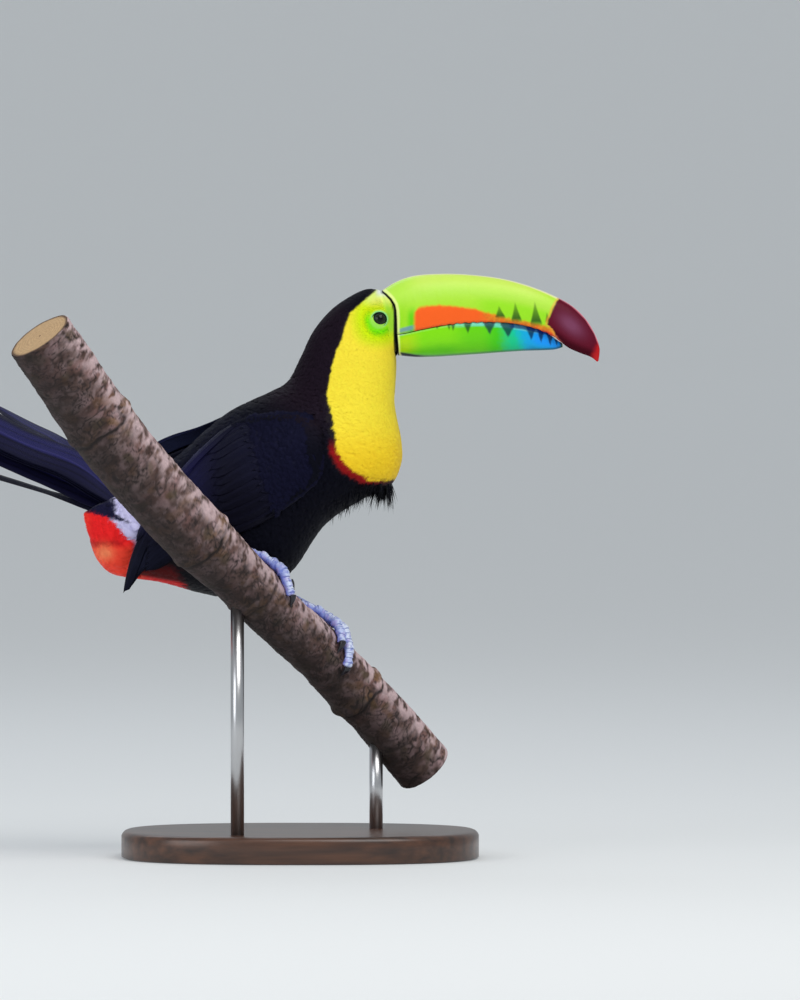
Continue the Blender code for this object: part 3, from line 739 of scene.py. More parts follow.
SKIN_VOXEL = 0.0011
COLLAR_REACH = 0.7  # how far the face runs on past the front of the black band, in millimetres
LID_WIDTH, LID_OUT = 0.58, 3.05  # radius of the beaded rim, and how far it stands out from the eye's middle


def coat_depth(u):
    """How far the skin lies inside the feathers' outer surface, in metres."""
    return np.interp(u, (0, 1.5, 3, 5, 8, 12, BODY_END), (0.4, 0.7, 1.1, 1.5, 2.0, 2.2, 2.2)) * MM


def collar(ring, bill):
    """Rows of skin that carry the face forward over the bill's base, as far as the black band."""
    target = ring.copy()
    for i, (x, y, z) in enumerate(ring / MM):
        side = 1 if y >= 0 else -1
        reach = max(x, float(band_x(z)) + COLLAR_REACH)
        hit = bill.ray_cast(Vector((reach, side * 60, z)) * MM, Vector((0, -side, 0)))[0]
        if hit is not None and abs(y) > 4:
            target[i] = reach * MM, hit.y + side * GAP * MM, z * MM
    rows = [ring + (target - ring) * share for share in (1.0, 0.75, 0.5, 0.25)]
    inner = target.copy()
    inner[:, 1] *= 0.9
    inner[:, 2] += (ring[:, 2].mean() - inner[:, 2]) * 0.1
    return np.array([inner] + rows)


def closed_body(bill, rows=260, columns=160):
    """The body as one closed mesh, its surface moved inwards by the coat's depth."""
    p = grid(np.linspace(0, BODY_END, rows), np.linspace(-math.pi, math.pi, columns, endpoint=False))
    point, _, _, n = BODY_SHEET.frame(p)
    point = point - n * coat_depth(p[..., 0])[..., None]
    return capped(np.concatenate([collar(point[0], bill), point]))


def wing_core(side):
    """The flesh of a folded wing, thinner than the wing and short of its tip."""
    row, upper, lower = wing_lines(side, np.linspace(0.15, 8.3, 60)[:, None])
    turns = circle(24)
    v = 0.53 - 0.39 * np.cos(turns)
    point = upper + (lower - upper) * v[:, None]
    thick = np.maximum(row[..., 7] / 2 - 1.3 * MM, 0.5 * MM) * np.sin(turns)
    point[..., 1] += side * (row[..., 6] * (4 * v * (1 - v)) + thick - 0.6 * MM)
    return capped(point)


def apply_modifiers(obj):
    graph = bpy.context.evaluated_depsgraph_get()
    mesh = bpy.data.meshes.new_from_object(obj.evaluated_get(graph))
    obj.modifiers.clear()
    obj.data = mesh


def read_mesh(mesh):
    mesh.calc_loop_triangles()
    points = np.empty(len(mesh.vertices) * 3)
    mesh.vertices.foreach_get("co", points)
    faces = np.empty(len(mesh.loop_triangles) * 3, np.int32)
    mesh.loop_triangles.foreach_get("vertices", faces)
    return points.reshape(-1, 3), faces.reshape(-1, 3)


def search_tree(points, faces):
    return BVHTree.FromPolygons(points.tolist(), faces.tolist())


def body_parameters(points):
    """The nearest body section and angle of each point."""
    p = grid(np.linspace(0, BODY_END, 240), np.linspace(-math.pi, math.pi, 96, endpoint=False)).reshape(-1, 2)
    samples = body_surface(p[:, 0], p[:, 1])
    tree = KDTree(len(samples))
    for i, s in enumerate(samples):
        tree.insert(s, i)
    tree.balance()
    index = np.array([tree.find(q)[1] for q in points])
    return p[index, 0], p[index, 1]


def skin_colour(points, u, a):
    """The plumage's colours, with the bare green skin round the eye and the black before the face."""
    x, y, z = in_mm(points)
    return layers(
        plumage(points, u, a) * 0.9,
        (rgb(170, 224, 120), ease(6.8, 5.6, eye_distance(points)) * ease(9, 13, np.abs(y)) * 0.4),
        (BAND, ease(-2.0, -0.8, x - band_x(z)) * ease(381.5, 379.5, z) * ease(334, 336, z)),
    )


def with_slot(mesh, slot):
    """The mesh with the number of its material for each face."""
    return (*mesh, np.full(len(mesh[1]), slot, np.int32))


def make_skin(materials, feet, bill):
    """One skin over head, neck, trunk, wings and feet, with the lids."""
    points, faces = join([closed_body(bill), wing_core(RIGHT), wing_core(LEFT)])
    rough = add_mesh("skin_rough", points, faces, materials["skin"])
    remesh = rough.modifiers.new("remesh", "REMESH")
    remesh.mode, remesh.voxel_size, remesh.use_smooth_shade = "VOXEL", SKIN_VOXEL, True
    smooth = rough.modifiers.new("smooth", "SMOOTH")
    smooth.factor, smooth.iterations = 0.5, 5
    apply_modifiers(rough)
    points, faces = read_mesh(rough.data)
    bpy.data.objects.remove(rough)
    colours = skin_colour(points, *body_parameters(points))

    # Fine folds round the eye.
    r = eye_distance(points)
    face = ease(14, 9, r) * ease(6, 7.5, r) * ease(9, 13, np.abs(points[:, 1]) / MM)
    folds = np.sin(r * 4.2 + noise(points, 4 * MM, 3) * 1.6) * 0.13
    points[:, 1] += np.sign(points[:, 1]) * face * folds * MM

    parts = [with_slot((points, faces, colours), 0)] + feet + orbital_rings()
    points, faces, colours, slots = join(parts)
    skin = add_mesh("skin", points, faces, materials["skin"], colours)
    skin.data.materials.append(materials["foot_skin"])
    if len(skin.data.polygons) == len(slots):
        skin.data.polygons.foreach_set("material_index", slots)
    return skin


def orbital_rings():
    """The lids: a beaded rim round each eye, leaning on the eyeball."""
    turns, sides = 96, 14
    t, s = circle(turns)[:, None], circle(sides)
    thick = LID_WIDTH * (1 + 0.10 * np.sin(t * 22) + 0.08 * np.sin(t * 9 + 1))
    radius = EYE_RADIUS + thick * np.cos(s)
    x = EYE[0] + radius * np.cos(t) * 1.02
    y = EYE[1] + LID_OUT - 0.020 * (radius * np.cos(t)) ** 2 + thick * np.sin(s)
    z = EYE[2] + radius * np.sin(t) * 0.98
    faces = grid_faces(turns + 1, sides) % (turns * sides)
    inner = (np.cos(s) < -0.35) * np.ones_like(t)
    colour = layers(rgb(150, 222, 126), (rgb(24, 70, 60), inner)).reshape(-1, 3)
    made = []
    for _, side in SIDES:
        points = stacked(x, side * y, z).reshape(-1, 3) * MM
        made.append(with_slot((points, outward(points, faces), colour), 0))
    return made


# ---------------------------------------------------------------- coat

BARE_RADIUS, BARE_OUT = 7.4, 11  # the featherless ring round the eye, and how far out it starts
PATCH = 0.003  # side of a feather's patch on the unwrap
WISP_COUNT = 1500


def comb_feathers(
    sheet, root, length, width, barbs, depth, lift, colour_at,
    turn=0.25, tone=0.07, shade=0.72, camber=0.08, drape=None,
):
    """Small feathers as fans of barbs that part at the tip. root holds the parameters of each.

    depth is how far the root lies inside the surface, lift how far the tip stands off it,
    shade the root's part of the tip's brightness, a painted shade on roots that lie under other feathers,
    and camber the bow across, as a share of the width.
    """
    count = len(root)
    direction = rng.normal(0, turn, count)
    length = length * rng.uniform(0.85, 1.15, count)
    width = width * rng.uniform(0.88, 1.12, count)
    su, sv, ahead, aside = sheet.walk(root, direction)
    # Three rows of points across the vane, and the barbs' tips. s runs along it and c across.
    columns = np.linspace(-1, 1, barbs + 1)
    centres = (columns[:-1] + columns[1:]) / 2
    s = np.concatenate([np.repeat((0.0, 0.36, 0.7), barbs + 1), 1 - 0.30 * centres**2])
    c = np.concatenate([columns * 0.45, columns * 0.95, columns, centres * 0.94])
    ragged = np.ones((count, len(s)))
    ragged[:, -barbs:] += rng.uniform(-0.12, 0.08, (count, barbs))
    along = length[:, None] * s * ragged
    across = width[:, None] / 2 * c
    move = ahead[:, None] * along[..., None] + aside[:, None] * across[..., None]
    p = root[:, None] + sheet.steps(su[:, None], sv[:, None], move)
    point, _, _, n = sheet.frame(p)
    lift = lift * rng.uniform(0.6, 1.3, count)
    rise = np.sin(s * math.pi / 2)
    height = -depth[:, None] * (1 - rise) + lift[:, None] * rise
    height = height + (camber * width[:, None] * (1 - c**2)) * np.sin(s * math.pi) ** 0.5
    point = point + n * height[..., None]
    if drape is not None:
        point = drape(point, s)

    row, barb = barbs + 1, np.arange(barbs)
    faces = []
    for a in (barb, row + barb):
        faces += [stacked(a, a + 1, a + row + 1), stacked(a, a + row + 1, a + row)]
    faces.append(stacked(2 * row + barb, 2 * row + barb + 1, 3 * row + barb))
    faces = repeated(np.concatenate(faces), len(s), count)

    middle = slice(2 * row + barbs // 2, 2 * row + barbs // 2 + 1)
    spot = point[:, middle] + (point - point[:, middle]) * 0.8
    place = np.broadcast_to(p[:, middle], p.shape)
    colour = colour_at(spot.reshape(-1, 3), place.reshape(-1, 2)).reshape(point.shape)
    colour = colour * (1 + rng.normal(0, tone, count))[:, None, None]
    # Painted shade: each feather's root, under the feathers before it, is darker than its tip.
    colour = colour * (shade + (1 - shade) * ease(0, 0.6, s))[:, None]
    return point.reshape(-1, 3), faces, np.clip(colour.reshape(-1, 3), 0, 1), s, c


def bake_map(root_uv, s, c):
    """UVs that give each feather a small patch at its root's place."""
    patch = stacked(c * 0.5, s - 0.5) * PATCH
    return np.clip(root_uv[:, None] + patch, 0.002, 0.998).reshape(-1, 2)


def body_roots(spacing, low, high, keep):
    """Parameters spread evenly over the body between two sections, where keep(point) holds."""
    made = []
    ring_a = np.linspace(-math.pi, math.pi, 97)
    u = low
    while u < high:
        ring = body_surface(np.full(len(ring_a), u), ring_a)
        lengths = np.concatenate([[0], np.cumsum(np.linalg.norm(np.diff(ring, axis=0), axis=1))])
        space = spacing(u)
        count = max(3, int(lengths[-1] / space))
        place = (np.arange(count) + rng.uniform(-0.3, 0.3, count)) / count % 1 * lengths[-1]
        a = np.interp(place, lengths, ring_a)
        at = np.full(count, u)
        stretch = np.linalg.norm(body_surface(at + 0.01, a) - body_surface(at, a), axis=1) / 0.01
        step = space / max(stretch.max(), 1e-4)
        chosen = rng.uniform(0, 1, count) < stretch / stretch.max()
        made.append(stacked(at + rng.uniform(0, 1, count) * step, a)[chosen])
        u += step
    p = np.concatenate(made)
    p = p[p[:, 0] < high]
    return p[keep(body_surface(p[:, 0], p[:, 1]))]


def body_uv(p):
    """An unwrap of the body: round it across, and from the face to the vent upwards."""
    return stacked(wrapped(p[:, 1]) / (2 * math.pi) * 0.98 + 0.5, p[:, 0] / BODY_END * 0.96 + 0.02)


def feather_length(u):
    """Length of the small feathers in metres: shortest on the face, longest at the vent."""
    return np.interp(u, (0, 1.5, 3.5, 6, 9, 13, 15), (1.9, 2.8, 4.4, 6.4, 8.4, 10.5, 13.0)) * MM


def make_body_coat(materials, covered, drape):
    """All the small feathers of head, neck and trunk, in pieces by region."""

    def feathered(point):
        return (eye_distance(point) >= BARE_RADIUS) | (np.abs(point[:, 1]) <= BARE_OUT * MM)

    def colour_at(point, p):
        # Painted light: feathers near the eye are made up to a third brighter, against the shade among them.
        near_eye = ease(17, 9, eye_distance(point))[:, None]
        return np.clip(plumage(point, p[:, 0], p[:, 1]) * (1 + 0.3 * near_eye), 0, 1)

    def bib(point):
        return (bib_depth(point) > -1) & feathered(point)

    def dark(point):
        return (bib_depth(point) <= -1) & feathered(point) & ~covered(point)

    pieces = (
        # name, sections, where, barbs, share of the length between roots, lift, tone, slot
        ("coat_face", 0.0, 3.6, bib, 4, 0.23, 0.10, 0.02, "face_feathers"),
        ("coat_bib", 3.6, 10.5, bib, 6, 0.20, 0.13, 0.02, "face_feathers"),
        ("coat_crown", 0.05, 3.6, dark, 4, 0.25, 0.20, 0.06, "black_feathers"),
        ("coat_neck", 3.6, 7.5, dark, 6, 0.23, 0.22, 0.06, "black_feathers"),
        ("coat_trunk", 7.5, 10.5, dark, 7, 0.21, 0.25, 0.06, "black_feathers"),
        ("coat_belly", 10.5, 13.2, dark, 7, 0.19, 0.35, 0.06, "black_feathers"),
        ("coat_vent", 12.6, 16.4, dark, 9, 0.14, 0.7, 0.05, "red_feathers"),
    )
    made = []
    for name, low, high, keep, barbs, share, lift, tone, slot in pieces:
        root = body_roots(lambda u: share * feather_length(u), low, high, keep)
        u, a = root.T
        length = feather_length(u) * (1 - 0.6 * ease(18, 9, eye_distance(body_surface(u, a))))
        # The vent's feathers are longer, but for those along the tail's edge and at its end.
        length = length * (1 + ease(14.4, 15.2, u) * (0.35 - 0.6 * hump(np.abs(wrapped(a)) - 1.9, 0.16)))
        length = length * (1 - 0.5 * ease(15.6, 16.3, u))
        black, face = slot == "black_feathers", slot == "face_feathers"
        points, faces, colours, s, c = comb_feathers(
            BODY_SHEET, root, length, length * (0.5 if black else 0.62), barbs,
            coat_depth(u) + 0.1 * MM, lift * MM, colour_at,
            tone=tone, shade=0.75 if black else 1.0, camber=0.03 if face else 0.08,
            drape=drape if black else None,
        )
        material = materials["plumage_black" if black else "plumage_bright"]
        made.append((add_mesh(name, points, faces, material, colours, bake_map(body_uv(root), s, c)), slot))
    return made


def make_wisps(materials):
    """Loose black barbs that hang under the breast."""
    count, steps = WISP_COUNT, np.linspace(0, 1, 6)
    u = 7.2 + 2.6 * rng.uniform(0, 1, count) ** 2.2
    a = rng.choice((-1, 1), count) * rng.uniform(2.35, 3.14, count)
    root = stacked(u, a)
    point = body_surface(u, a)
    keep = bib_depth(point) < -1.5
    root, point = root[keep], point[keep]
    _, su, _, n = BODY_SHEET.frame(root)
    count = len(root)
    x = point[:, 0] / MM
    front = ease(48, 60, x)
    length = rng.uniform(0.6, 1.15, count) * np.interp(x, (10, 25, 43, 54, 60), (1, 6, 7.5, 11, 14)) * MM
    clump = ease(-0.25, 0.35, noise(point, 4.5 * MM, 15))
    length = (length * (0.45 + 0.9 * clump * (1 - front) + 0.55 * front))[:, None]
    front = front[:, None]
    lean = stacked(*(noise(point, 3.5 * MM, seed) for seed in (16, 17, 18)))
    hang = unit(su) * (0.75 - 0.6 * front) + np.array((0.1, 0, -0.75)) + lean * (0.7 - 0.45 * front)
    hang = unit(hang + rng.normal(0, 0.06, (count, 3)))
    side = unit(np.cross(hang, n)) * (0.6 + 0.5 * front) * MM
    rows = []
    for t in steps:
        centre = point - n * 1.2 * MM * (1 - t) + hang * length * t
        centre = centre + np.array((0, 0, -1)) * length * 0.22 * t**2
        width = side * (1 - t) ** 0.7
        rows.append(np.stack([centre - width, centre + width], 1))
    points = np.stack(rows, 1).reshape(-1, 3)
    faces = repeated(grid_faces(len(steps), 2, closed=False), 2 * len(steps), count)
    colours = np.ones(points.shape) * BLACK * 0.5
    uvs = bake_map(body_uv(root), np.repeat(steps, 2), np.tile((-1.0, 1.0), len(steps)))
    return add_mesh("coat_wisps", points, faces, materials["plumage_black"], colours, uvs)


# ---------------------------------------------------------------- flight feathers

# A lighter blue-grey for the vanes' under sides, as painted light.
LIT_UNDER_VANE = rgb(50, 56, 84)
# Each row of a wing's feathers: count, root line and tip line from the upper to the lower edge as
# (u, v) pairs, half width, outer web's share, tilt, level, rows of points, where the tip rounds off.
WING_ROWS = (
    (9, (3.6, 0.55), (2.6, 0.93), (8.85, 0.5), (7.1, 0.90), 6.0, 0.34, 0.30, -1.1, 26, 0.78),
    (11, (2.6, 0.06), (2.9, 0.80), (6.7, 0.05), (7.9, 0.84), 7.4, 0.40, 0.28, -0.7, 26, 0.78),
    (12, (1.5, 0.06), (1.6, 0.90), (4.1, 0.05), (4.3, 0.90), 5.6, 0.45, 0.22, -0.35, 16, 0.6),
    (14, (0.9, 0.06), (0.9, 0.90), (2.95, 0.05), (2.95, 0.92), 4.4, 0.48, 0.18, -0.1, 16, 0.6),
)
# The long feathers of the wing's upper edge: u at root and tip, v at the tip, half width, level.
WING_EDGE = ((5.0, 8.9, 0.38, 4.6, -0.6), (4.0, 7.6, 0.08, 4.2, -0.2), (2.9, 6.0, 0.04, 4.0, 0.1))


def vane(sheet, path, half_width, share, tilt, level, rows=26, columns=10, thick=0.22, blunt=0.84):
    """One large feather on a sheet: path(t) gives parameters, share is the outer web's part of the width.

    tilt raises the outer edge and level the whole feather, in millimetres. Returns points, faces, the
    place of each point along and across the feather, and which of them are on its under side.
    """
    t, c = np.linspace(0, 1, rows), np.linspace(-1, 1, columns + 1)
    p = path(t)
    point, su, sv, n = sheet.frame(p)
    ahead = unit(np.gradient(point, axis=0))
    aside = np.cross(n, ahead)
    tip = np.clip((t - blunt) / (1 - blunt), 0, 1)
    profile = (0.45 + 0.55 * ease(0, 0.3, t)) * np.sqrt(1 - tip**2.2)
    wavy = 1 + 0.04 * noise(stacked(t * 9, half_width, 0), 1.0, 5)[:, None] * np.abs(c)
    web = np.where(c > 0, share * 2, (1 - share) * 2)
    across = half_width * MM * profile[:, None] * (c * web) * wavy
    sweep = -0.315 * np.abs(c) ** 1.5 * half_width * MM * ease(0.6, 1, t)[:, None]
    move = aside[:, None] * across[..., None] + ahead[:, None] * sweep[..., None]
    surface, _, _, normal = sheet.frame(p[:, None] + sheet.steps(su[:, None], sv[:, None], move))
    height = level + tilt * c * (0.4 + 0.6 * t[:, None]) + 0.35 * (1 - c**2)
    rachis = 0.28 * hump(c, 0.09) * (1 - 0.6 * t[:, None])
    top = surface + normal * ((height + rachis) * MM)[..., None]
    under = surface + normal * ((height - thick) * MM)[..., None]
    ring = np.concatenate([top, under[:, -2:0:-1]], 1)
    wide = ring.shape[1]
    across_ring = np.tile(np.concatenate([c, c[-2:0:-1]]), rows)
    under_side = np.tile(np.arange(wide) > columns, rows)
    return ring.reshape(-1, 3), grid_faces(rows, wide), np.repeat(t, wide), across_ring, under_side


def gather(name, vanes, material, colour, barbs):
    """Joins vanes, each paired with its place on the unwrap, into one object."""
    parts = []
    for (points, faces, s, c, under), spot in vanes:
        shade = 1 + rng.normal(0, 0.08)
        # The under sides get painted light.
        look = np.clip(layers(colour(points, s, c) * shade, (LIT_UNDER_VANE, under * 0.8)), 0, 1)
        shape = stacked(s * barbs - np.abs(c) * 0.35, c)
        parts.append((points, faces, look, bake_map(np.array([spot]), s, c), shape))
    points, faces, *maps = join(parts)
    return add_mesh(name, points, faces, material, *maps)


def wing_colour(p, s, c):
    x, _, z = in_mm(p)
    # The blue over the upper rear of the wing is painted sheen, and the darkening towards its lower edge and
    # its tip is painted shade.
    return layers(
        rgb(12, 12, 28),
        (rgb(5, 4, 12), ease(255, 225, z + 0.5 * x)),
        (rgb(20, 18, 56), ease(-50, -75, x) * ease(215, 232, z)),
        (rgb(5, 6, 14), ease(216, 204, z) * ease(-80, -95, x)),
        (rgb(20, 20, 38), hump(c, 0.07) * 0.3),
    )


def edge_colour(p, s, c):
    """The long feathers along the upper edge of a folded wing, with a painted highlight as a pale rim."""
    rim = ease(0.84, 0.98, -c) * ease(-46, -58, p[:, 0] / MM) * 0.7
    return layers(wing_colour(p, s, c), (rgb(64, 68, 104), rim))


def straight(start, end, bend=0.0):
    """A path between two places on the wing, bowed towards the lower edge by bend."""
    start, end = np.array(start), np.array(end)

    def path(t):
        p = start + (end - start) * t[:, None]
        p[:, 1] += bend * np.sin(math.pi * t)
        return p

    return path


def wing_uv(root):
    return 0.05 + 0.9 * stacked(root[..., 1], root[..., 0] / 9)


def make_wing(name, side, materials):
    sheet = WING_SHEETS[side]
    vanes = []
    for count, root_a, root_b, tip_a, tip_b, half, share, tilt, level, rows, blunt in WING_ROWS:
        for f in np.arange(count)[:, None] / (count - 1):
            root = np.array(root_a) * (1 - f) + np.array(root_b) * f
            tip = np.array(tip_a) * (1 - f) + np.array(tip_b) * f
            tip[0] += rng.normal(0, 0.04)
            height = level + rng.normal(0, 0.04)
            path = straight(root, tip, 0.02)
            vanes.append((vane(sheet, path, half, share, tilt, height, rows, 8, blunt=blunt), wing_uv(root)))
    flight = gather("wing_feathers_" + name, vanes, materials["flight_feather"], wing_colour, 30)
    vanes = []
    for root, tip, reach, half, level in WING_EDGE:
        path = straight((root, 0.07), (tip, reach))
        feather = vane(sheet, path, half, 0.5, 0.15, level, 26, 12, blunt=0.7)
        vanes.append((feather, (0.03, 0.05 + 0.1 * root)))
    edge = gather("wing_edge_" + name, vanes, materials["flight_feather"], edge_colour, 30)

    # Small coverts over the shoulder.
    roots = []
    for u in np.arange(0.02, 2.45, 0.075):
        count = int(np.interp(u, (0, 0.6, 2.4), (12, 24, 38)))
        v = (np.arange(count) + rng.uniform(0, 1, count)) / count
        roots.append(stacked(u + rng.uniform(0, 0.1, count), 0.03 + 0.94 * v))
    root = np.concatenate(roots)
    length, width, depth = (np.full(len(root), size * MM) for size in (7.5, 3.6, 0.9))
    points, faces, colours, s, c = comb_feathers(
        sheet, root, length, width, 7, depth, 0.6 * MM,
        lambda q, p: np.ones(q.shape) * rgb(17, 17, 37), turn=0.18,
    )
    uvs = bake_map(wing_uv(root), s, c)
    small = add_mesh("wing_coverts_" + name, points, faces, materials["plumage_black"], colours, uvs)
    return [(piece, "black_feathers") for piece in (flight, edge, small)]


def tail_axes():
    """The tail's axis, the ways left and up across it as it is rolled, and upwards as it isn't."""
    along = unit(TAIL_AIM)
    flat_up = unit(np.array((0, 0, 1.0)) - along * along[2])
    flat_left = np.cross(along, flat_up)
    flat_left = flat_left * np.sign(flat_left[1])
    turn = math.radians(TAIL_ROLL)
    left = flat_left * math.cos(turn) + flat_up * math.sin(turn)
    return along, left, flat_up * math.cos(turn) - flat_left * math.sin(turn), flat_up


def tail_sheet(level, tilt, middle_slope, length, bowed, sags):
    """The surface one tail feather lies on, from its distance along the tail and across it."""
    along, left, up, flat_up = tail_axes()
    bow, place, spread = TAIL_BOW
    sag, high, low = SAG

    def surface(d, v):
        share = np.clip((d / MM - TAIL_START) / (length - TAIL_START), 0, 1)
        lean = tilt * np.clip((share - 0.15) / 0.25, 0, 1)
        drop = TAIL_ARCH * v**2 + level + lean * (v - middle_slope * d)
        rise = bowed * bow * MM * hump(d / MM - place, spread)
        rise = rise - sags * sag * MM * ease(high, low, d / MM)
        flat = TAIL_ROOT + along * d[..., None] + left * v[..., None]
        return flat - up * drop[..., None] + flat_up * rise[..., None]

    def inside(q):
        return surface(q[..., 0], q[..., 1]) - up * 0.01

    return Sheet(surface, (-1, -1), (1, 1), inside)


def tail_colour(p, s, c):
    # The blue-violet over the black is painted sheen. The darker half of the vane, the dark edges and the
    # dark fold lines are painted shade, and the lighter line along the shaft is a painted highlight.
    bend = 0.3 * (s - 0.5) + 0.05 * np.sin(s * 19)
    folds = ((0.22, 0.07, 0.95), (0.62, 0.05, 0.8), (-0.42, 0.04, 0.7))
    return layers(
        rgb(30, 29, 76),
        (rgb(20, 19, 46), ease(0.0, 0.35, c)),
        (rgb(8, 8, 22), ease(0.6, 1.0, np.abs(c)) * 0.8),
        *((rgb(4, 4, 14), hump(c - place - bend, width) * strength) for place, width, strength in folds),
        (rgb(56, 54, 110), hump(c - 0.02, 0.04) * 0.7),
    )


def stray_colour(p, s, c):
    return layers(rgb(9, 10, 22), (rgb(22, 24, 44), hump(c, 0.08) * 0.6))


def make_tail(materials):
    """The ten feathers of the tail, one object for the stray one and one for the others."""
    vanes, spots = [], []
    swing, start, end = SWING
    for order, (full_length, width) in enumerate(zip(TAIL_LENGTHS, TAIL_WIDTHS)):
        for _, side in SIDES:
            outermost = order == len(TAIL_LENGTHS) - 1
            stray, short = outermost and side == RIGHT, outermost and side == LEFT
            low = order == len(TAIL_LENGTHS) - 2 and side == RIGHT
            length = SHORT_LENGTH if short else full_length
            first, more = TAIL_SPLAY[side]
            splay = first + more * order + stray * STRAY_SPLAY + low * LOW_SPLAY
            slope = side * math.tan(math.radians(splay))
            turn = stray * math.tan(math.radians(STRAY_TURN))
            level = FEATHER_LEVEL * (2 * order + (side == RIGHT) + low - short + 0.5 * stray) * MM
            sheet = tail_sheet(level, turn, slope, length, not (stray or low), low)

            def path(t):
                d = (4 + (length - 4) * t) * MM
                return stacked(d, slope * d + short * side * swing * MM * ease(start * MM, end * MM, d))

            half = width / 2 * (0.6 if stray else 1)
            vanes.append(vane(sheet, path, half, 0.5, 0.0, 0.0, 44, 28, 0.3, 0.5 if short else 0.9))
            spots.append((0.5 + side * (0.04 + order * 0.08), 0.5))
    right_outermost = len(vanes) - len(SIDES)
    loose = vanes.pop(right_outermost)
    material = materials["flight_feather"]
    tail = gather("tail_feathers", zip(vanes, spots), material, tail_colour, 60)
    return tail, gather("tail_stray", [(loose, spots[right_outermost])], material, stray_colour, 60)


# ---------------------------------------------------------------- bill

# Lines of (x, z) points: the black band at the base, the cutting edge, the top of the orange
# flash and the rear edge of the maroon tip.
BASE_BAND = (
    (53.9, 380.6), (57.6, 377.9), (60.8, 374.7), (63.0, 370.9), (63.8, 367.2), (64.1, 361.8),
    (63.9, 351.1), (64.3, 343.0), (64.6, 337.5), (66.0, 334.8),
)
CUTTING_EDGE = (
    (60.0, 349.0), (65.7, 351.6), (70.5, 353.2), (76.9, 354.8), (84.4, 356.4), (93.5, 358.3), (100.5, 358.6),
    (108.5, 358.9), (116.6, 359.1), (124.6, 358.9), (132.0, 358.3), (140.0, 357.3), (148.0, 356.2),
    (156.1, 354.6), (161.5, 353.0), (166.8, 351.9), (171.1, 349.8), (173.8, 347.1), (175.4, 344.9),
)
ORANGE_TOP = (
    (74.0, 364.0), (79.1, 368.8), (84.4, 370.2), (92.5, 370.7), (100.5, 370.4), (108.5, 369.6),
    (115.5, 368.5), (123.9, 366.1), (129.3, 364.7), (134.7, 363.1), (142.7, 361.1), (150.8, 359.8),
    (161.5, 357.6), (168.0, 355.6),
)
TIP_EDGE = (
    (175.2, 377.4), (171.1, 371.8), (169.5, 368.5), (167.9, 364.2), (166.3, 361.0), (165.8, 357.8),
    (169.5, 354.6), (172.0, 349.0),
)
# Green teeth on the upper mandible: x, height of the apex, width, height of the foot.
TRIANGLES = (
    (134.2, 370.6, 6.4, 363.2), (145.0, 373.2, 6.6, 361.2), (158.2, 373.6, 7.4, 359.2),
    (166.2, 366.2, 3.4, 360.0),
)
# Dark teeth on the lower mandible: x, width, depth.
SERRATIONS = (
    (91.6, 3.4, 2.2), (99.6, 2.6, 4.0), (102.4, 3.0, 4.8), (112.2, 5.4, 7.0), (126.7, 7.6, 7.6),
    (139.0, 9.0, 8.2), (154.6, 5.6, 7.6), (161.2, 4.4, 7.4), (167.3, 4.6, 8.0), (171.6, 3.0, 5.4),
)


def band_x(z):
    return place_at(BASE_BAND, z)


def mandible(table, upper, rows, arc_points):
    """Rings of one mandible, each an arch over a straight cutting edge."""
    row = curve(table, np.linspace(0, len(table) - 1, rows)) * MM
    high, low = stacked(row[:, 0], 0, row[:, 1]), stacked(row[:, 2], 0, row[:, 3])
    flat, crest = (low, high) if upper else (high, low)
    k = np.linspace(0, math.pi, arc_points)
    out = np.sign(np.cos(k)) * np.abs(np.cos(k)) ** BILL_ROUNDNESS
    ring = flat[:, None] + (crest - flat)[:, None] * (np.sin(k) ** BILL_ROUNDNESS)[:, None]
    ring[..., 1] += out * row[:, 4:5]
    return capped(ring)


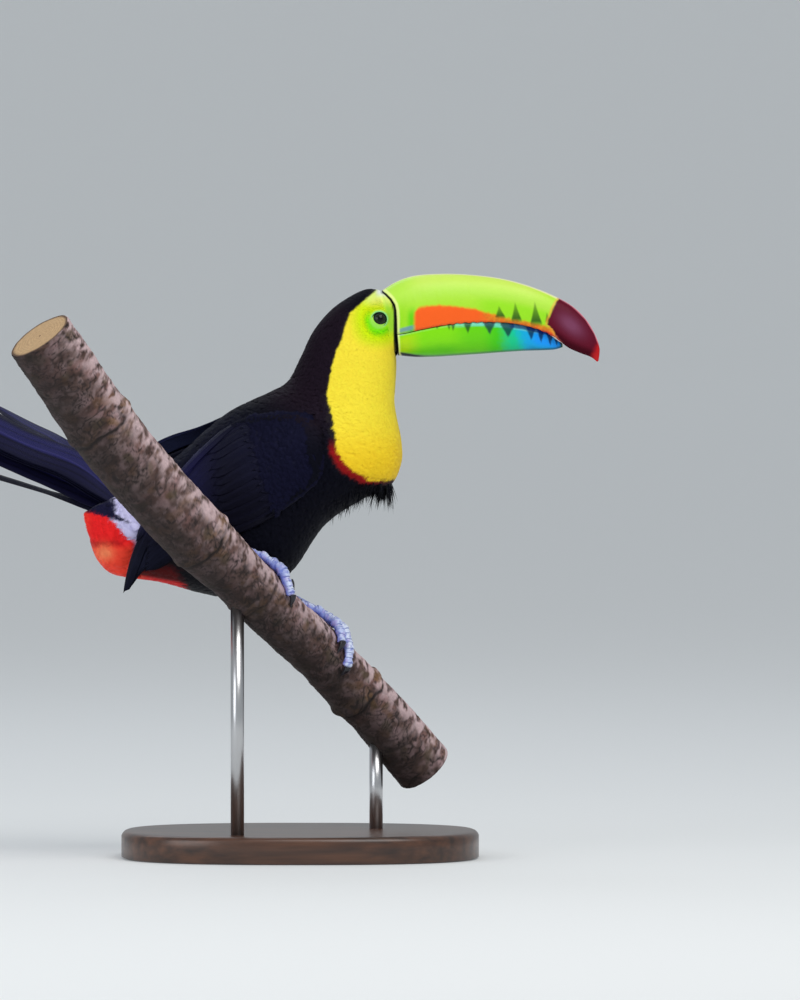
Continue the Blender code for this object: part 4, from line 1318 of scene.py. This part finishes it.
def bill_upper_colour(points):
    x, y, z = in_mm(points)
    y = np.abs(y)
    wobble = noise(points, 2.5 * MM, 8) * 0.35
    streak = noise(points * (0.5, 1, 1), 1.3 * MM, 9)
    edge = height_at(CUTTING_EDGE, x)
    top = height_at([row[:2] for row in BILL_UPPER[:-1]], x)
    share = np.clip((z - edge) / np.maximum(top - edge, 1), 0, 1)
    ridge = top - z - 0.07 * y
    # Orange flash, thinning to a strip along the cutting edge.
    flash = ease(-1.2, 1.2, height_at(ORANGE_TOP, x) - z + wobble * 1.6)
    flash = flash * ease(75.0, 78.2, x + wobble) * ease(176, 172, x) * ease(7.2, 5.8, np.maximum(82.0 - x, 0))
    green_rear = ease(70, 74, x) * ease(79, 75, x) * ease(0.5, 0.25, share)
    colour = layers(
        rgb(176, 234, 52),
        (rgb(184, 236, 74), ease(0.35, 0.75, share)),
        (rgb(182, 236, 50), ease(0.6, 0.85, share) * ease(85, 130, x)),
        (rgb(214, 240, 104), ease(0.62, 0.95, share) * ease(66, 84, x) * ease(176, 150, x) * 0.7),
        (rgb(96, 214, 6), green_rear),
        (rgb(150, 224, 10), ease(78, 66, x) * ease(0.75, 0.3, share) * 0.8),
        (rgb(150, 232, 22), ease(112, 130, x) * ease(0.62, 0.42, share) * 0.75),
        # Painted highlights along the culmen's ridge.
        (rgb(238, 246, 156), ease(2.9, 1.2, ridge + y * 0.14) * ease(4.6, 3.4, y)),
        (rgb(252, 252, 214), ease(1.3, 0.3, ridge + y * 0.2) * ease(3.2, 2.0, y) * 0.8),
        (rgb(255, 100, 26), flash),
        (rgb(196, 190, 30), flash * ease(118, 134, x) * ease(0.5, 2.4, z - edge) * (0.5 + 0.6 * streak)),
        (rgb(216, 70, 24), flash * ease(116, 130, x) * ease(-0.2, 0.3, streak) * 0.6),
        (rgb(190, 40, 40), flash * ease(1.0, 0.2, z - edge) * ease(120, 140, x)),
    )
    # Dark green teeth that rise out of the strip.
    for place, apex, width, foot in TRIANGLES:
        height = np.clip((apex - z) / (apex - foot), -0.2, 1.2)
        half = width / 2 * np.clip(height, 0, 1) ** 1.3
        inside = ease(0.7, -0.5, np.abs(x - place + 1 - height) - half)
        inside = inside * ease(-0.05, 0.2, height) * ease(1.25, 0.9, height)
        colour = layers(colour, (rgb(24, 74, 16), inside * (0.45 + 0.5 * height).clip(0, 0.92)))
    # Maroon tip with a purple cheek and a pink ridge, both painted highlights, and a red point, behind a pale
    # orange rim.
    tip_x = place_at(TIP_EDGE, z)
    inside = ease(-0.6, 0.6, x - tip_x + wobble * 1.2)
    cheek = hump(x - 181.5, 8.5) * hump(z - (357.5 - (x - 181.5) * 0.55), 6.0)
    over_low = z - height_at([row[2:4] for row in BILL_UPPER], x)
    maroon = layers(
        rgb(96, 14, 36),
        (rgb(124, 62, 92), cheek * 1.1),
        (rgb(62, 8, 22), ease(7.5, 2.0, over_low)),
        (rgb(232, 120, 140), ease(1.6, 0.4, ridge + y * 0.22) * ease(3.2, 1.8, y) * 0.9),
        (rgb(196, 14, 18), ease(194.5, 201.0, x - (z - 340) * 0.5 + wobble * 3)),
    )
    # Grey-blue sliver at the gape.
    gape = ease(3.6, 2.4, z - edge) * ease(78, 74, x) * ease(64.6, 66.5, x) * ease(0.1, 0.4, z - edge + 0.2)
    colour = layers(
        colour,
        (rgb(112, 150, 170), gape * 0.9),
        (rgb(244, 170, 60), ease(-2.4, -0.4, x - tip_x) * ease(0.0, 1.5, tip_x + 0.8 - x) * 0.75),
        (maroon, inside),
        (rgb(224, 96, 84), inside * ease(1.5, 0.5, z - edge) * ease(177, 172, x) * 0.8),
    )
    return base_band(colour * 0.95, x, z)


def bill_lower_colour(points):
    x, _, z = in_mm(points)
    wobble = noise(points, 2.5 * MM, 12) * 0.5
    below = height_at(CUTTING_EDGE, x) - 0.4 - z
    colour = layers(
        rgb(130, 224, 0),
        (rgb(176, 222, 0), ease(84, 70, x) * ease(0.0, 5.0, below)),
        (rgb(104, 212, 0), ease(98, 116, x)),
        (rgb(68, 206, 4), ease(120, 133, x)),
        (rgb(96, 206, 0), ease(10, 18, below) * ease(116, 100, x)),
        (rgb(4, 204, 140), ease(131, 143, x + wobble * 3)),
        (rgb(0, 172, 226), ease(139, 150, x + wobble * 3 - below * 0.35)),
        (rgb(6, 154, 255), ease(151, 160, x) * ease(13, 6, below)),
        (rgb(8, 150, 196), ease(150, 158, x) * ease(9.5, 13.0, below)),
        (rgb(120, 226, 214), ease(2.4, 0.9, below) * ease(162, 154, x) * ease(98, 106, x) * 0.85),
        (rgb(150, 172, 176), ease(1.5, 0.5, below) * ease(104, 92, x) * 0.85),
    )
    for place, width, depth in SERRATIONS:
        t = np.clip(below / depth, 0, 1.3)
        half = width / 2 * np.clip(1 - t, 0, 1) ** 1.15
        inside = ease(0.7, -0.6, np.abs(x - place - t * 0.4 - wobble * 0.6) - half) * ease(1.1, 0.7, t)
        colour = layers(colour, (rgb(0, 14, 58) if place > 120 else rgb(6, 56, 20), inside * 0.84))
    # The base band runs on as a thin dark line under the rear of the mandible.
    over_keel = z - height_at([row[2:4] for row in BILL_LOWER], x)
    colour = layers(
        colour,
        (rgb(0, 34, 120), ease(1.6, 0.7, below + wobble) * ease(138, 144, x) * 0.8),
        (rgb(70, 100, 60), ease(173.5, 176, x)),
        (rgb(4, 20, 24), ease(3.2, 1.8, over_keel + ease(66, 92, x) * 1.6) * ease(94, 78, x)),
        (rgb(10, 76, 40), ease(2.2, 0.6, over_keel) * ease(78, 90, x) * 0.7),
    )
    return base_band(colour, x, z)


def base_band(colour, x, z):
    """The black band round the bill's base, with a pale line before it and face skin behind it."""
    distance = to_line(x, z, BASE_BAND)
    ahead = ease(-0.2, 0.2, x - band_x(z))
    half = 0.95 + 0.85 * ease(366, 342, z) - 0.2 * ease(370, 379, z)
    return layers(
        colour,
        (rgb(236, 246, 150), ahead * ease(3.4, 2.1, distance) * ease(334.5, 338, z) * 0.8),
        (eye_green(YELLOW, x, z, 0.0) * 0.85, 1 - ahead),
        (BAND, ease(0.35, -0.35, distance - half) * ease(381.8, 380.8, z)),
    )


def make_bill(materials):
    made = []
    for name, table, rows, arc_points, colour in (
        ("upper", BILL_UPPER, 330, 130, bill_upper_colour),
        ("lower", BILL_LOWER, 250, 90, bill_lower_colour),
    ):
        points, faces = mandible(table, name == "upper", rows, arc_points)
        # Shallow growth lines, and a wavy cutting edge.
        x, _, z = in_mm(points)
        lines = noise(stacked(x * 0.9 + z * 0.25, z * 0.08, 0), 1.0, 4)
        points = points + unit(stacked(0, points[:, 1], 0)) * (lines * 0.05 * MM)[:, None]
        edge = height_at(CUTTING_EDGE, x)
        near = ease(1.8, 0.2, np.abs(z - edge)) * ease(88, 98, x) * ease(176, 170, x)
        points[:, 2] += near * 0.3 * MM * np.sin(x * 1.15)
        if name == "lower":
            points[:, 2] += ease(2.0, 0.5, edge - z) * ease(62, 66, x) * (0.45 + 0.5 * ease(158, 170, x)) * MM
        mesh = points, faces, colour(points)
        node_name = "bill_" + name
        made.append(stand_in(node_name + "_horn", mesh, materials["bill_horn"], node_name, "bill_horn"))
    return made


# ---------------------------------------------------------------- eyes


def make_eye(name, side, materials):
    """An eyeball whose front bulges a little, with a dark iris round the pupil."""
    rows, columns = 96, 96
    polar, turns = np.linspace(0.0, math.pi, rows), circle(columns)[:, None]
    gaze = unit((0.10, side, 0.03))
    across = unit(np.cross(gaze, (0, 0, 1)))
    up = np.cross(across, gaze)
    radius = EYE_RADIUS * 0.98 + 0.25 * hump(polar, 0.45)
    down = polar[:, None, None]
    ring = gaze * np.cos(down) + (across * np.cos(turns) + up * np.sin(turns)) * np.sin(down)
    points = ring * radius[:, None, None] * MM + np.array((EYE[0], side * EYE[1], EYE[2])) * MM
    off = polar[:, None] * np.ones(columns)
    spokes = (np.sin(turns * 31) * 0.5 + np.sin(turns * 17 + 1) * 0.5)[:, 0]
    colour = layers(
        rgb(4, 5, 6),
        (rgb(34, 40, 22), ease(0.34, 0.38, off) * ease(0.80, 0.74, off) * (0.75 + 0.25 * spokes)),
        (rgb(46, 70, 58), ease(0.66, 0.74, off) * ease(0.86, 0.80, off) * 0.6),
        (rgb(10, 14, 14), ease(0.80, 0.88, off)),
    )
    return stand_in("eyeball_" + name, capped(points, colour), materials["eye"], "eye_" + name, "eye")


# ---------------------------------------------------------------- perch and feet

PERCH_RADIUS = 19
SHANK_START = 4.2  # its height over the bark, in millimetres
SCUTE_LENGTH = 3.4
# Fainter scars, in the bark alone.
FAINT_SCARS = ((0.9, 0.4), (3.2, 0.4), (7.35, 0.5), (9.6, 0.6))
# Blotches of the bark: colour, noise below which they are clear and above which they are full,
# size, seed, amount, and whether they run round the branch as hoops.
BLOTCHES = (
    (rgb(164, 152, 144), -0.1, 0.4, 15.0, 30, 1.0, False),
    (rgb(166, 136, 126), 0.0, 0.4, 19.0, 31, 0.75, False),
    (rgb(96, 76, 64), 0.0, 0.45, 6.0, 33, 0.7, True),
    (rgb(108, 92, 82), 0.05, 0.4, 2.2, 37, 0.35, True),
    (rgb(196, 184, 178), 0.1, 0.42, 3.6, 32, 0.5, False),
    (rgb(206, 188, 184), 0.05, 0.5, 8.0, 39, 0.55, False),
    (rgb(88, 66, 54), 0.1, 0.5, 10.0, 42, 0.6, False),
    (rgb(40, 30, 27), 0.22, 0.5, 2.0, 38, 0.6, False),
    (rgb(140, 112, 74), 0.3, 0.6, 9.0, 34, 0.5, False),
    (rgb(104, 100, 66), 0.32, 0.6, 11.0, 35, 0.5, False),
)


def perch_frame(u):
    """Centre, axis, upward and rightward directions and radius of the perch at sections u."""
    row = curve(PERCH, u)
    e = 0.05
    low, high = np.maximum(u - e, 0), np.minimum(u + e, PERCH_END)
    along = unit((curve(PERCH, high) - curve(PERCH, low))[..., :3])
    top = unit(np.array((0, 0, 1.0)) - along * along[..., 2:3])
    radius = row[..., 3] + sum(swell * hump(u - place, 0.12) for place, swell in PERCH_SCARS)
    return row[..., :3] * MM, along, top, np.cross(along, top), radius * MM


def on_perch(u, degrees, height):
    """Points this height over the perch, in metres, at an angle from its top."""
    centre, _, top, right, radius = perch_frame(np.asarray(u, float))
    angle = np.radians(degrees)[..., None]
    return centre + (top * np.cos(angle) + right * np.sin(angle)) * (radius + height)[..., None]


def perch_length(u):
    """Millimetres along the perch from its upper end to section u."""
    at = np.linspace(0, PERCH_END, 400)
    steps = np.linalg.norm(np.diff(curve(PERCH, at)[:, :3], axis=0), axis=1)
    return np.interp(u, at, np.concatenate([[0], np.cumsum(steps)]))


def wound(along, angle, radius=PERCH_RADIUS):
    """Places on a straight cylinder, in millimetres, where the bark's noise is read."""
    return stacked(along, np.cos(angle) * radius, np.sin(angle) * radius)


def bark_relief(u, angle):
    """Height of the bark over the plain perch, in millimetres, and how deep its wrinkles, cracks and grooves
    are there, as the strength of their painted shade.
    """
    along = perch_length(u)
    bark = wound(along, angle)
    bent = along + 3.0 * noise(bark, 16.0, 20) + 1.2 * noise(bark, 6.0, 25)
    hoops = wound(bent, angle, 4.2)
    wrinkle = ease(0.15, 0.0, np.abs(noise(hoops, 4.0, 21))) * ease(-0.15, 0.4, noise(bark, 9.0, 26))
    crack = ease(0.07, 0.0, np.abs(noise(bark, 7.0, 27))) * ease(0.0, 0.5, noise(bark, 14.0, 28))
    knots = noise(bark, 15.0, 43) * 10 + noise(bark, 5.0, 44) * 2.5
    whorl = ease(0.86, 1.0, np.abs(np.sin(knots))) * ease(-0.1, 0.35, noise(bark, 12.0, 45))
    relief = 0.40 * noise(bark, 13.0, 22) + 0.26 * noise(bark, 5.5, 23)
    relief += 0.14 * noise(hoops, 1.7, 24) + 0.09 * noise(bark, 1.6, 29)
    relief -= 0.26 * wrinkle + 0.34 * crack + 0.30 * whorl
    shadow = np.maximum(np.maximum(wrinkle * 0.8, crack), whorl * 0.9)
    for place, swell in PERCH_SCARS + FAINT_SCARS:
        near = (bent - perch_length(place)) / 1.5
        groove = swell * np.exp(-((near - 1.9) ** 2) * 1.5)
        relief += swell * 0.45 * hump(near, 1) - 0.40 * groove
        shadow = np.maximum(shadow, groove)
    return relief, np.clip(shadow, 0, 1)


def bark_colour(u, angle, relief, shadow):
    bark = wound(perch_length(u), angle)
    hoops = bark * (1.0, 0.45, 0.45)
    dark = rgb(40, 30, 27)
    colour = rgb(136, 118, 106)
    for over, clear, full, size, seed, amount, hooped in BLOTCHES:
        spots = ease(clear, full, noise(hoops if hooped else bark, size, seed))
        colour = layers(colour, (over, spots * amount))
    for place, swell in PERCH_SCARS:
        past = perch_length(u) - perch_length(place) + 5 * noise(bark, 12.0, 46)
        patch = hump(past, 5 + 2 * swell) * ease(-0.15, 0.3, noise(bark, 7.0, 47))
        colour = layers(colour, (rgb(156, 128, 74), patch * 0.6))
    # Painted light: shade in the cracks, wrinkles and hollows, pale highlight patches over the upper side,
    # and shade over the underside.
    above = np.cos(angle - 0.35)
    top_highlight = ease(0.2, 0.9, above) * ease(-0.35, 0.35, noise(hoops, 5.0, 36) + 0.5 * noise(hoops, 2.0, 48))
    colour = layers(
        colour,
        (dark, np.maximum(shadow * 0.95, ease(-0.15, -0.8, relief) * 0.6)),
        (rgb(246, 236, 230), top_highlight * 0.8),
        (dark, ease(0.9, -0.7, above) * 0.82),
    )
    return colour**1.2 * (0.77, 0.64, 0.71)


def cut_end(rim, out):
    """A cut end of the branch inside its rim: concentric rings of pale wood. out points out of the wood."""
    centre = rim.mean(0)
    shares = np.linspace(1, 0.03, 26)[:, None]
    disc = centre + (rim - centre) * shares[..., None]
    rough = noise(disc, 1.2 * MM, 40) * 0.12 * MM
    disc = disc + out * (rough * (shares < 0.97))[..., None]
    grain = 0.5 + 0.5 * np.sin(shares * 60 + noise(disc, 6 * MM, 41) * 2)
    edge = ease(0.88, 0.96, shares) * np.ones(len(rim))
    colour = layers(rgb(196, 164, 122), (rgb(150, 112, 78), grain * 0.5), (rgb(90, 66, 48), edge))
    return disc.reshape(-1, 3), grid_faces(len(shares), len(rim)), colour.reshape(-1, 3)


def toe_place(sole, toe, t):
    """Section and degrees on the perch at share t of the way from the sole to the toe's end."""
    return sole[0] + (toe[0] - sole[0]) * t, sole[1] + (toe[1] - sole[1]) * t


def make_perch(materials):
    rows, columns = 620, 160
    u, angle = np.meshgrid(np.linspace(0, PERCH_END, rows), circle(columns), indexing="ij")
    plain = on_perch(u, np.degrees(angle), np.zeros_like(u))
    relief, shadow = bark_relief(u, angle)
    # Under the toes the bark lies flat.
    feet = np.zeros_like(relief)
    for _, sole, toes in FEET.values():
        for toe in toes:
            for t in np.linspace(0, 1.3, 14):
                spot = on_perch(*toe_place(sole, toe, t), 0.0)
                feet = np.maximum(feet, hump(np.linalg.norm(plain - spot, axis=-1), 4 * MM))
    relief = relief - feet * np.maximum(relief, 0)
    ends = np.minimum(ease(0, 0.04, u), ease(PERCH_END, PERCH_END - 0.04, u))
    points = on_perch(u, np.degrees(angle), (relief - (1 - ends) * 0.6) * MM)
    colours = bark_colour(u, angle, relief, shadow).reshape(-1, 3)
    parts = [(points.reshape(-1, 3), grid_faces(rows, columns)[:, ::-1], colours)]
    for row, out in ((0, -1), (-1, 1)):
        disc, faces, shade = cut_end(points[row], out * perch_frame(u[row, :1])[1][0])
        parts.append((disc, faces[:, ::out], shade))
    return stand_in("branch", join(parts), materials["bark"], "perch", "bark")


def tube(path, radii, columns):
    """Rings of points round a path, one for each of its points and their radii."""
    along = unit(np.gradient(path, axis=0))
    turns = circle(columns)[:, None]
    side = unit(np.cross(along[0], (0.3, 0.9, 0.2)))
    rings = []
    for centre, ahead, radius in zip(path, along, radii):
        side = unit(side - ahead * np.dot(side, ahead))
        rings.append(centre + (side * np.cos(turns) + np.cross(ahead, side) * np.sin(turns)) * radius)
    return np.array(rings)


def swollen(rings, path, share):
    """The rings with each point moved out from the path to this share of its distance."""
    return path[:, None] + (rings - path[:, None]) * share[..., None]


def make_toe(sole, toe, number):
    """Mesh of one toe with its scutes, its centre line and its radius at the end."""
    rows, columns = 150, 20
    t = np.linspace(0, 1, rows)
    _, _, thick, thin, arch = toe
    radius = (thick + (thin - thick) * t) * (1 + 0.07 * np.cos(t * 3 * 2 * math.pi))
    rise = arch * np.sin(math.pi * np.minimum(t * 1.4, 1)) ** 2
    u, degrees = toe_place(sole, toe, t)
    path = on_perch(u, degrees, (radius + GAP + rise) * MM)
    away = unit(path - perch_frame(u)[0])
    length = np.linalg.norm(np.diff(path, axis=0), axis=1).sum() / MM
    rings = tube(path, radius * MM, columns)
    upward = dots(unit(rings - path[:, None]), away[:, None])
    # Overlapping plates over the top of the toe, pebbles on its sides, pads below.
    edges = np.cumsum(rng.uniform(0.4, 1.6, int(length / SCUTE_LENGTH) + 1))
    edges = np.concatenate([[0], edges]) / edges[-1]
    plate = np.clip(np.searchsorted(edges, t, side="right") - 1, 0, len(edges) - 2)
    phase = (t - edges[plate]) / (edges[plate + 1] - edges[plate])
    height = rng.uniform(0.7, 1.35, len(edges))[plate]
    step = ((0.10 + 0.55 * phase - 0.75 * ease(0.84, 1.0, phase)) * height)[:, None]
    top = ease(-0.25, 0.5, upward)
    pebbles = 0.30 * noise(rings, 1.5 * MM, 50 + number) + 0.7 * noise(rings, 5 * MM, 90 + number)
    pads = 0.30 * np.sin(t * 2 * math.pi * 3.5)[:, None] * ease(0.0, -0.8, upward)
    flat = -0.30 * ease(0.6, 1.0, upward)
    hollow = rise[:, None] * ease(-0.1, -0.8, upward)
    grow = step * top + pebbles * (1 - 0.5 * top) + pads + flat + hollow * 0.9
    tip = np.sqrt(np.clip(1 - ((t - 0.93) / 0.07).clip(0, 1) ** 2, 0.02, 1))[:, None]
    rings = swollen(rings, path, (1 + grow / radius[:, None]) * tip)
    # Painted light: pale highlights over the top, stronger on some plates and in pale spots, and painted
    # shade in the groove at each plate's end and on the underside. The lilac and blue mottling is the skin's
    # own.
    pale = rng.uniform(0.35, 1.0, len(edges))[plate][:, None]
    colour = layers(
        rgb(150, 166, 232),
        (rgb(228, 236, 250), ease(-0.2, 0.7, upward) * pale),
        (rgb(58, 72, 164), ease(0.80, 0.95, phase)[:, None] * top * 0.7),
        (rgb(96, 106, 200), ease(0.0, -0.7, upward) * 0.8),
        (rgb(176, 160, 222), ease(0.15, 0.5, noise(rings, 3.0 * MM, 80 + number)) * 0.6),
        (rgb(74, 86, 190), ease(0.1, 0.5, noise(rings, 2.2 * MM, 60 + number)) * 0.6),
        (rgb(206, 220, 244), ease(0.2, 0.6, noise(rings, 1.5 * MM, 70 + number)) * top * 0.5),
    )
    return capped(rings, colour), path, radius[-1]


def make_shank(heel, sole):
    rows, columns = 110, 24
    start = on_perch(*sole, SHANK_START * MM)
    t = np.linspace(-0.03, 1, rows)
    path = start + (np.array(heel) * MM - start) * t[:, None]
    radius = np.interp(t, (-0.03, 0.1, 0.5, 0.9, 1), (3.6, 3.1, 2.7, 3.0, 3.3))
    phase = ((t * 16) % 1)[:, None] * np.ones(columns)
    step = 0.12 + 0.26 * phase - 0.38 * ease(0.86, 1.0, phase)
    rings = swollen(tube(path, radius * MM, columns), path, 1 + step / radius[:, None])
    # Painted shade in the groove at the end of each scute.
    return capped(rings, layers(rgb(150, 160, 212), (rgb(62, 78, 150), ease(0.80, 0.97, phase) * 0.8)))


def make_claw(name, path, end_radius, sole, toe, materials):
    """The claw that carries on from a toe whose centre line is path."""
    length = np.linalg.norm(path[-1] - path[0])
    t = np.linspace(0, 1, 34)
    onward = 1 + GAP * 0.2 * MM / length + t * CLAW_LENGTH * MM / length
    radius = end_radius * 0.80 * (1 - t) ** 0.85 + 0.22
    lift = radius + GAP + 1.7 * np.sin(math.pi * np.minimum(t + 0.25, 1)) * (1 - t)
    centre = on_perch(*toe_place(sole, toe, onward), lift * MM)
    mesh = capped(tube(centre, radius * MM, 16))
    return stand_in("nail_" + name, mesh, materials["claw_horn"], "claw_" + name, "claw_horn")


def make_feet(materials):
    skins, claws = [], []
    for name, (heel, sole, toes) in FEET.items():
        skins.append(with_slot(make_shank(heel, sole), 1))
        for number, toe in enumerate(toes, 1):
            mesh, path, end_radius = make_toe(sole, toe, number)
            skins.append(with_slot(mesh, 1))
            claws.append(make_claw(f"{name}_{number}", path, end_radius, sole, toe, materials))
    return skins, claws


# ---------------------------------------------------------------- stand

BASE_ROUNDNESS = 2 / 2.6
# The base's edge from below to above: how far in, as a share of its size, and how high.
BASE_PROFILE = (
    (0.02, 0.0), (0.0, 0.06), (0.0, 0.82), (0.006, 0.9), (0.016, 0.965), (0.03, 1.0), (0.1, 1.0), (0.5, 1.0),
)


def corners(name):
    return (np.array(corner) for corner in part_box(name))


def make_base(materials):
    low, high = corners("stand_base")
    size, thick = (high - low)[:2] / 2, high[2] - low[2]
    turns = circle(200)
    c, s = np.cos(turns), np.sin(turns)
    x = np.sign(c) * np.abs(c) ** BASE_ROUNDNESS * size[0]
    y = np.sign(s) * np.abs(s) ** BASE_ROUNDNESS * size[1]
    rings = np.array([stacked(x * (1 - inset), y * (1 - inset), z * thick) for inset, z in BASE_PROFILE])
    return stand_in("display_base", capped(rings), materials["stand_wood"], "stand_base", "stand_wood")


def make_rod(number, materials):
    low, high = corners(f"stand_rod_{number}")
    centre, radius = (low + high) / 2, (high[0] - low[0]) / 2
    x, y = centre[0] + radius * np.cos(circle(64)), centre[1] + radius * np.sin(circle(64))
    mesh = capped(np.array([stacked(x, y, z) for z in (low[2], high[2])]))
    name = f"display_rod_{number}"
    return stand_in(name, mesh, materials["stand_steel"], f"stand_rod_{number}", "stand_steel")


# ---------------------------------------------------------------- studio

FLOOR_DROP = 0.0002
# Lamps: place, side of the square, power, colour. All face the model's middle.
LAMPS = {
    "key": ((0.7, -1.3, 2.0), 1.5, 28, (1.0, 0.98, 0.95)),
    "fill": ((-1.7, -1.5, 0.9), 1.4, 15, (0.94, 0.97, 1.0)),
    "rim": ((-0.6, 1.5, 1.9), 1.2, 6, (0.85, 0.92, 1.0)),
}
LAMP_TARGET = Vector((0.0, 0.0, 0.26))
CAMERA_TARGET = Vector((0.067, 0, 0.23986))
CAMERA_TILT, CAMERA_DISTANCE, LENS, SENSOR = math.radians(2), 9, 483, 36


def place_facing(name, data, place, target):
    """Adds a lamp or camera at a place, turned towards the target."""
    made = bpy.data.objects.new(name, data)
    made.location = place
    made.rotation_euler = (target - Vector(place)).to_track_quat("-Z", "Y").to_euler()
    bpy.context.scene.collection.objects.link(made)
    return made


def make_studio():
    """A round pale floor that curves up into a wall, soft lamps and a pale sky."""
    material, _, _ = new_material("studio", {
        "Base Color": (0.66, 0.67, 0.67, 1), "Roughness": 0.95,
        "Emission Color": (0.9, 0.96, 1.0, 1), "Emission Strength": 0.16,
    })
    profile = [(0.02, 0.0), (4.0, 0.0), (12.0, 0.0)]
    profile += [(12.0 + 4 * math.sin(t), 4 - 4 * math.cos(t)) for t in np.linspace(0, math.pi / 2, 16)[1:]]
    profile += [(16.0, 9.0)]
    turns = circle(96)
    points = [stacked(r * np.cos(turns), r * np.sin(turns), z - FLOOR_DROP) for r, z in profile]
    points = np.concatenate(points + [[(0, 0, -FLOOR_DROP)]])
    centre = np.arange(len(turns))
    cap = stacked(centre, (centre + 1) % len(turns), len(points) - 1)
    faces = np.concatenate([grid_faces(len(profile), len(turns))[:, ::-1], cap])
    add_mesh("studio_floor", points, faces, material)
    for name, (place, size, power, colour) in LAMPS.items():
        lamp = bpy.data.lights.new(name, "AREA")
        lamp.shape, lamp.size, lamp.size_y, lamp.energy, lamp.color = "RECTANGLE", size, size, power, colour
        place_facing(name, lamp, place, LAMP_TARGET)
    world = bpy.data.worlds.new("studio_air")
    world.use_nodes = True
    fill(world.node_tree.nodes["Background"], {"Color": (0.86, 0.90, 0.95, 1), "Strength": 0.48})
    bpy.context.scene.world = world
    bpy.context.scene.view_settings.view_transform = "Standard"


def make_camera():
    camera = bpy.data.cameras.new("camera")
    camera.lens, camera.sensor_width, camera.clip_end = LENS, SENSOR, 60
    back = Vector((0, -math.cos(CAMERA_TILT), math.sin(CAMERA_TILT)))
    made = place_facing("camera", camera, CAMERA_TARGET + back * CAMERA_DISTANCE, CAMERA_TARGET)
    bpy.context.scene.camera = made


# ---------------------------------------------------------------- main


def wing_cover():
    """A test for body points under a folded wing, and a move that lays feather tips over the wing's front."""
    trees = []
    for side, sheet in WING_SHEETS.items():
        for low, high in ((0.8, 8.9), (0.0, 3.2)):
            p = grid(np.linspace(low, high, 60), np.linspace(0.04, 0.96, 24))
            points = sheet.surface(p[..., 0], p[..., 1]).reshape(-1, 3)
            trees.append((side, search_tree(points, grid_faces(60, 24, closed=False))))

    def wing_over(point, side, tree, reach):
        start = Vector((point[0], point[1] - side * 0.5 * MM, point[2]))
        return tree.ray_cast(start, Vector((0, side, 0)), reach)[0]

    def covered(points):
        hidden = np.zeros(len(points), bool)
        for side, tree in trees[::2]:
            for i, q in enumerate(points):
                if q[1] * side > -5 * MM:
                    hidden[i] |= wing_over(q, side, tree, 30 * MM) is not None
        return hidden

    def drape(point, s):
        rise = ease(0.15, 0.6, s) * MM
        for side, tree in trees[1::2]:
            x, y, z = in_mm(point[:, -1])
            for i in np.nonzero((y * side > 12) & (z > 200) & (x > -50))[0]:
                for j in np.nonzero(s > 0.2)[0]:
                    hit = wing_over(point[i, j], side, tree, 11 * MM)
                    if hit is not None:
                        point[i, j, 1] = hit.y + side * rise[j]
        return point

    return covered, drape


def main():
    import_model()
    make_camera()
    materials = make_materials()
    bill = make_bill(materials)
    foot_skins, claws = make_feet(materials)
    bill_tree = search_tree(*join([read_mesh(piece.data) for piece, _ in bill]))
    skin = make_skin(materials, foot_skins, bill_tree)
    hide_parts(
        "head", "neck", "trunk", "tail_coverts", "wing_left", "wing_right", "leg_left", "leg_right"
    )
    pieces = [(skin, "face_feathers"), *claws, *make_body_coat(materials, *wing_cover())]
    pieces.append((make_wisps(materials), "black_feathers"))
    for name, side in SIDES:
        pieces += make_wing(name, side, materials)
    tail, stray = make_tail(materials)
    names = [f"tail_feather_{name}_{order}" for name, _ in SIDES for order in range(1, 6)]
    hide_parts(*names)
    pieces += [(tail, "black_feathers"), (stray, "black_feathers"), *bill]
    pieces += [make_eye(name, side, materials) for name, side in SIDES]
    pieces += [make_perch(materials), make_base(materials), make_rod(1, materials), make_rod(2, materials)]
    for piece, slot in pieces:
        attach(piece, "root")
    make_studio()


main()
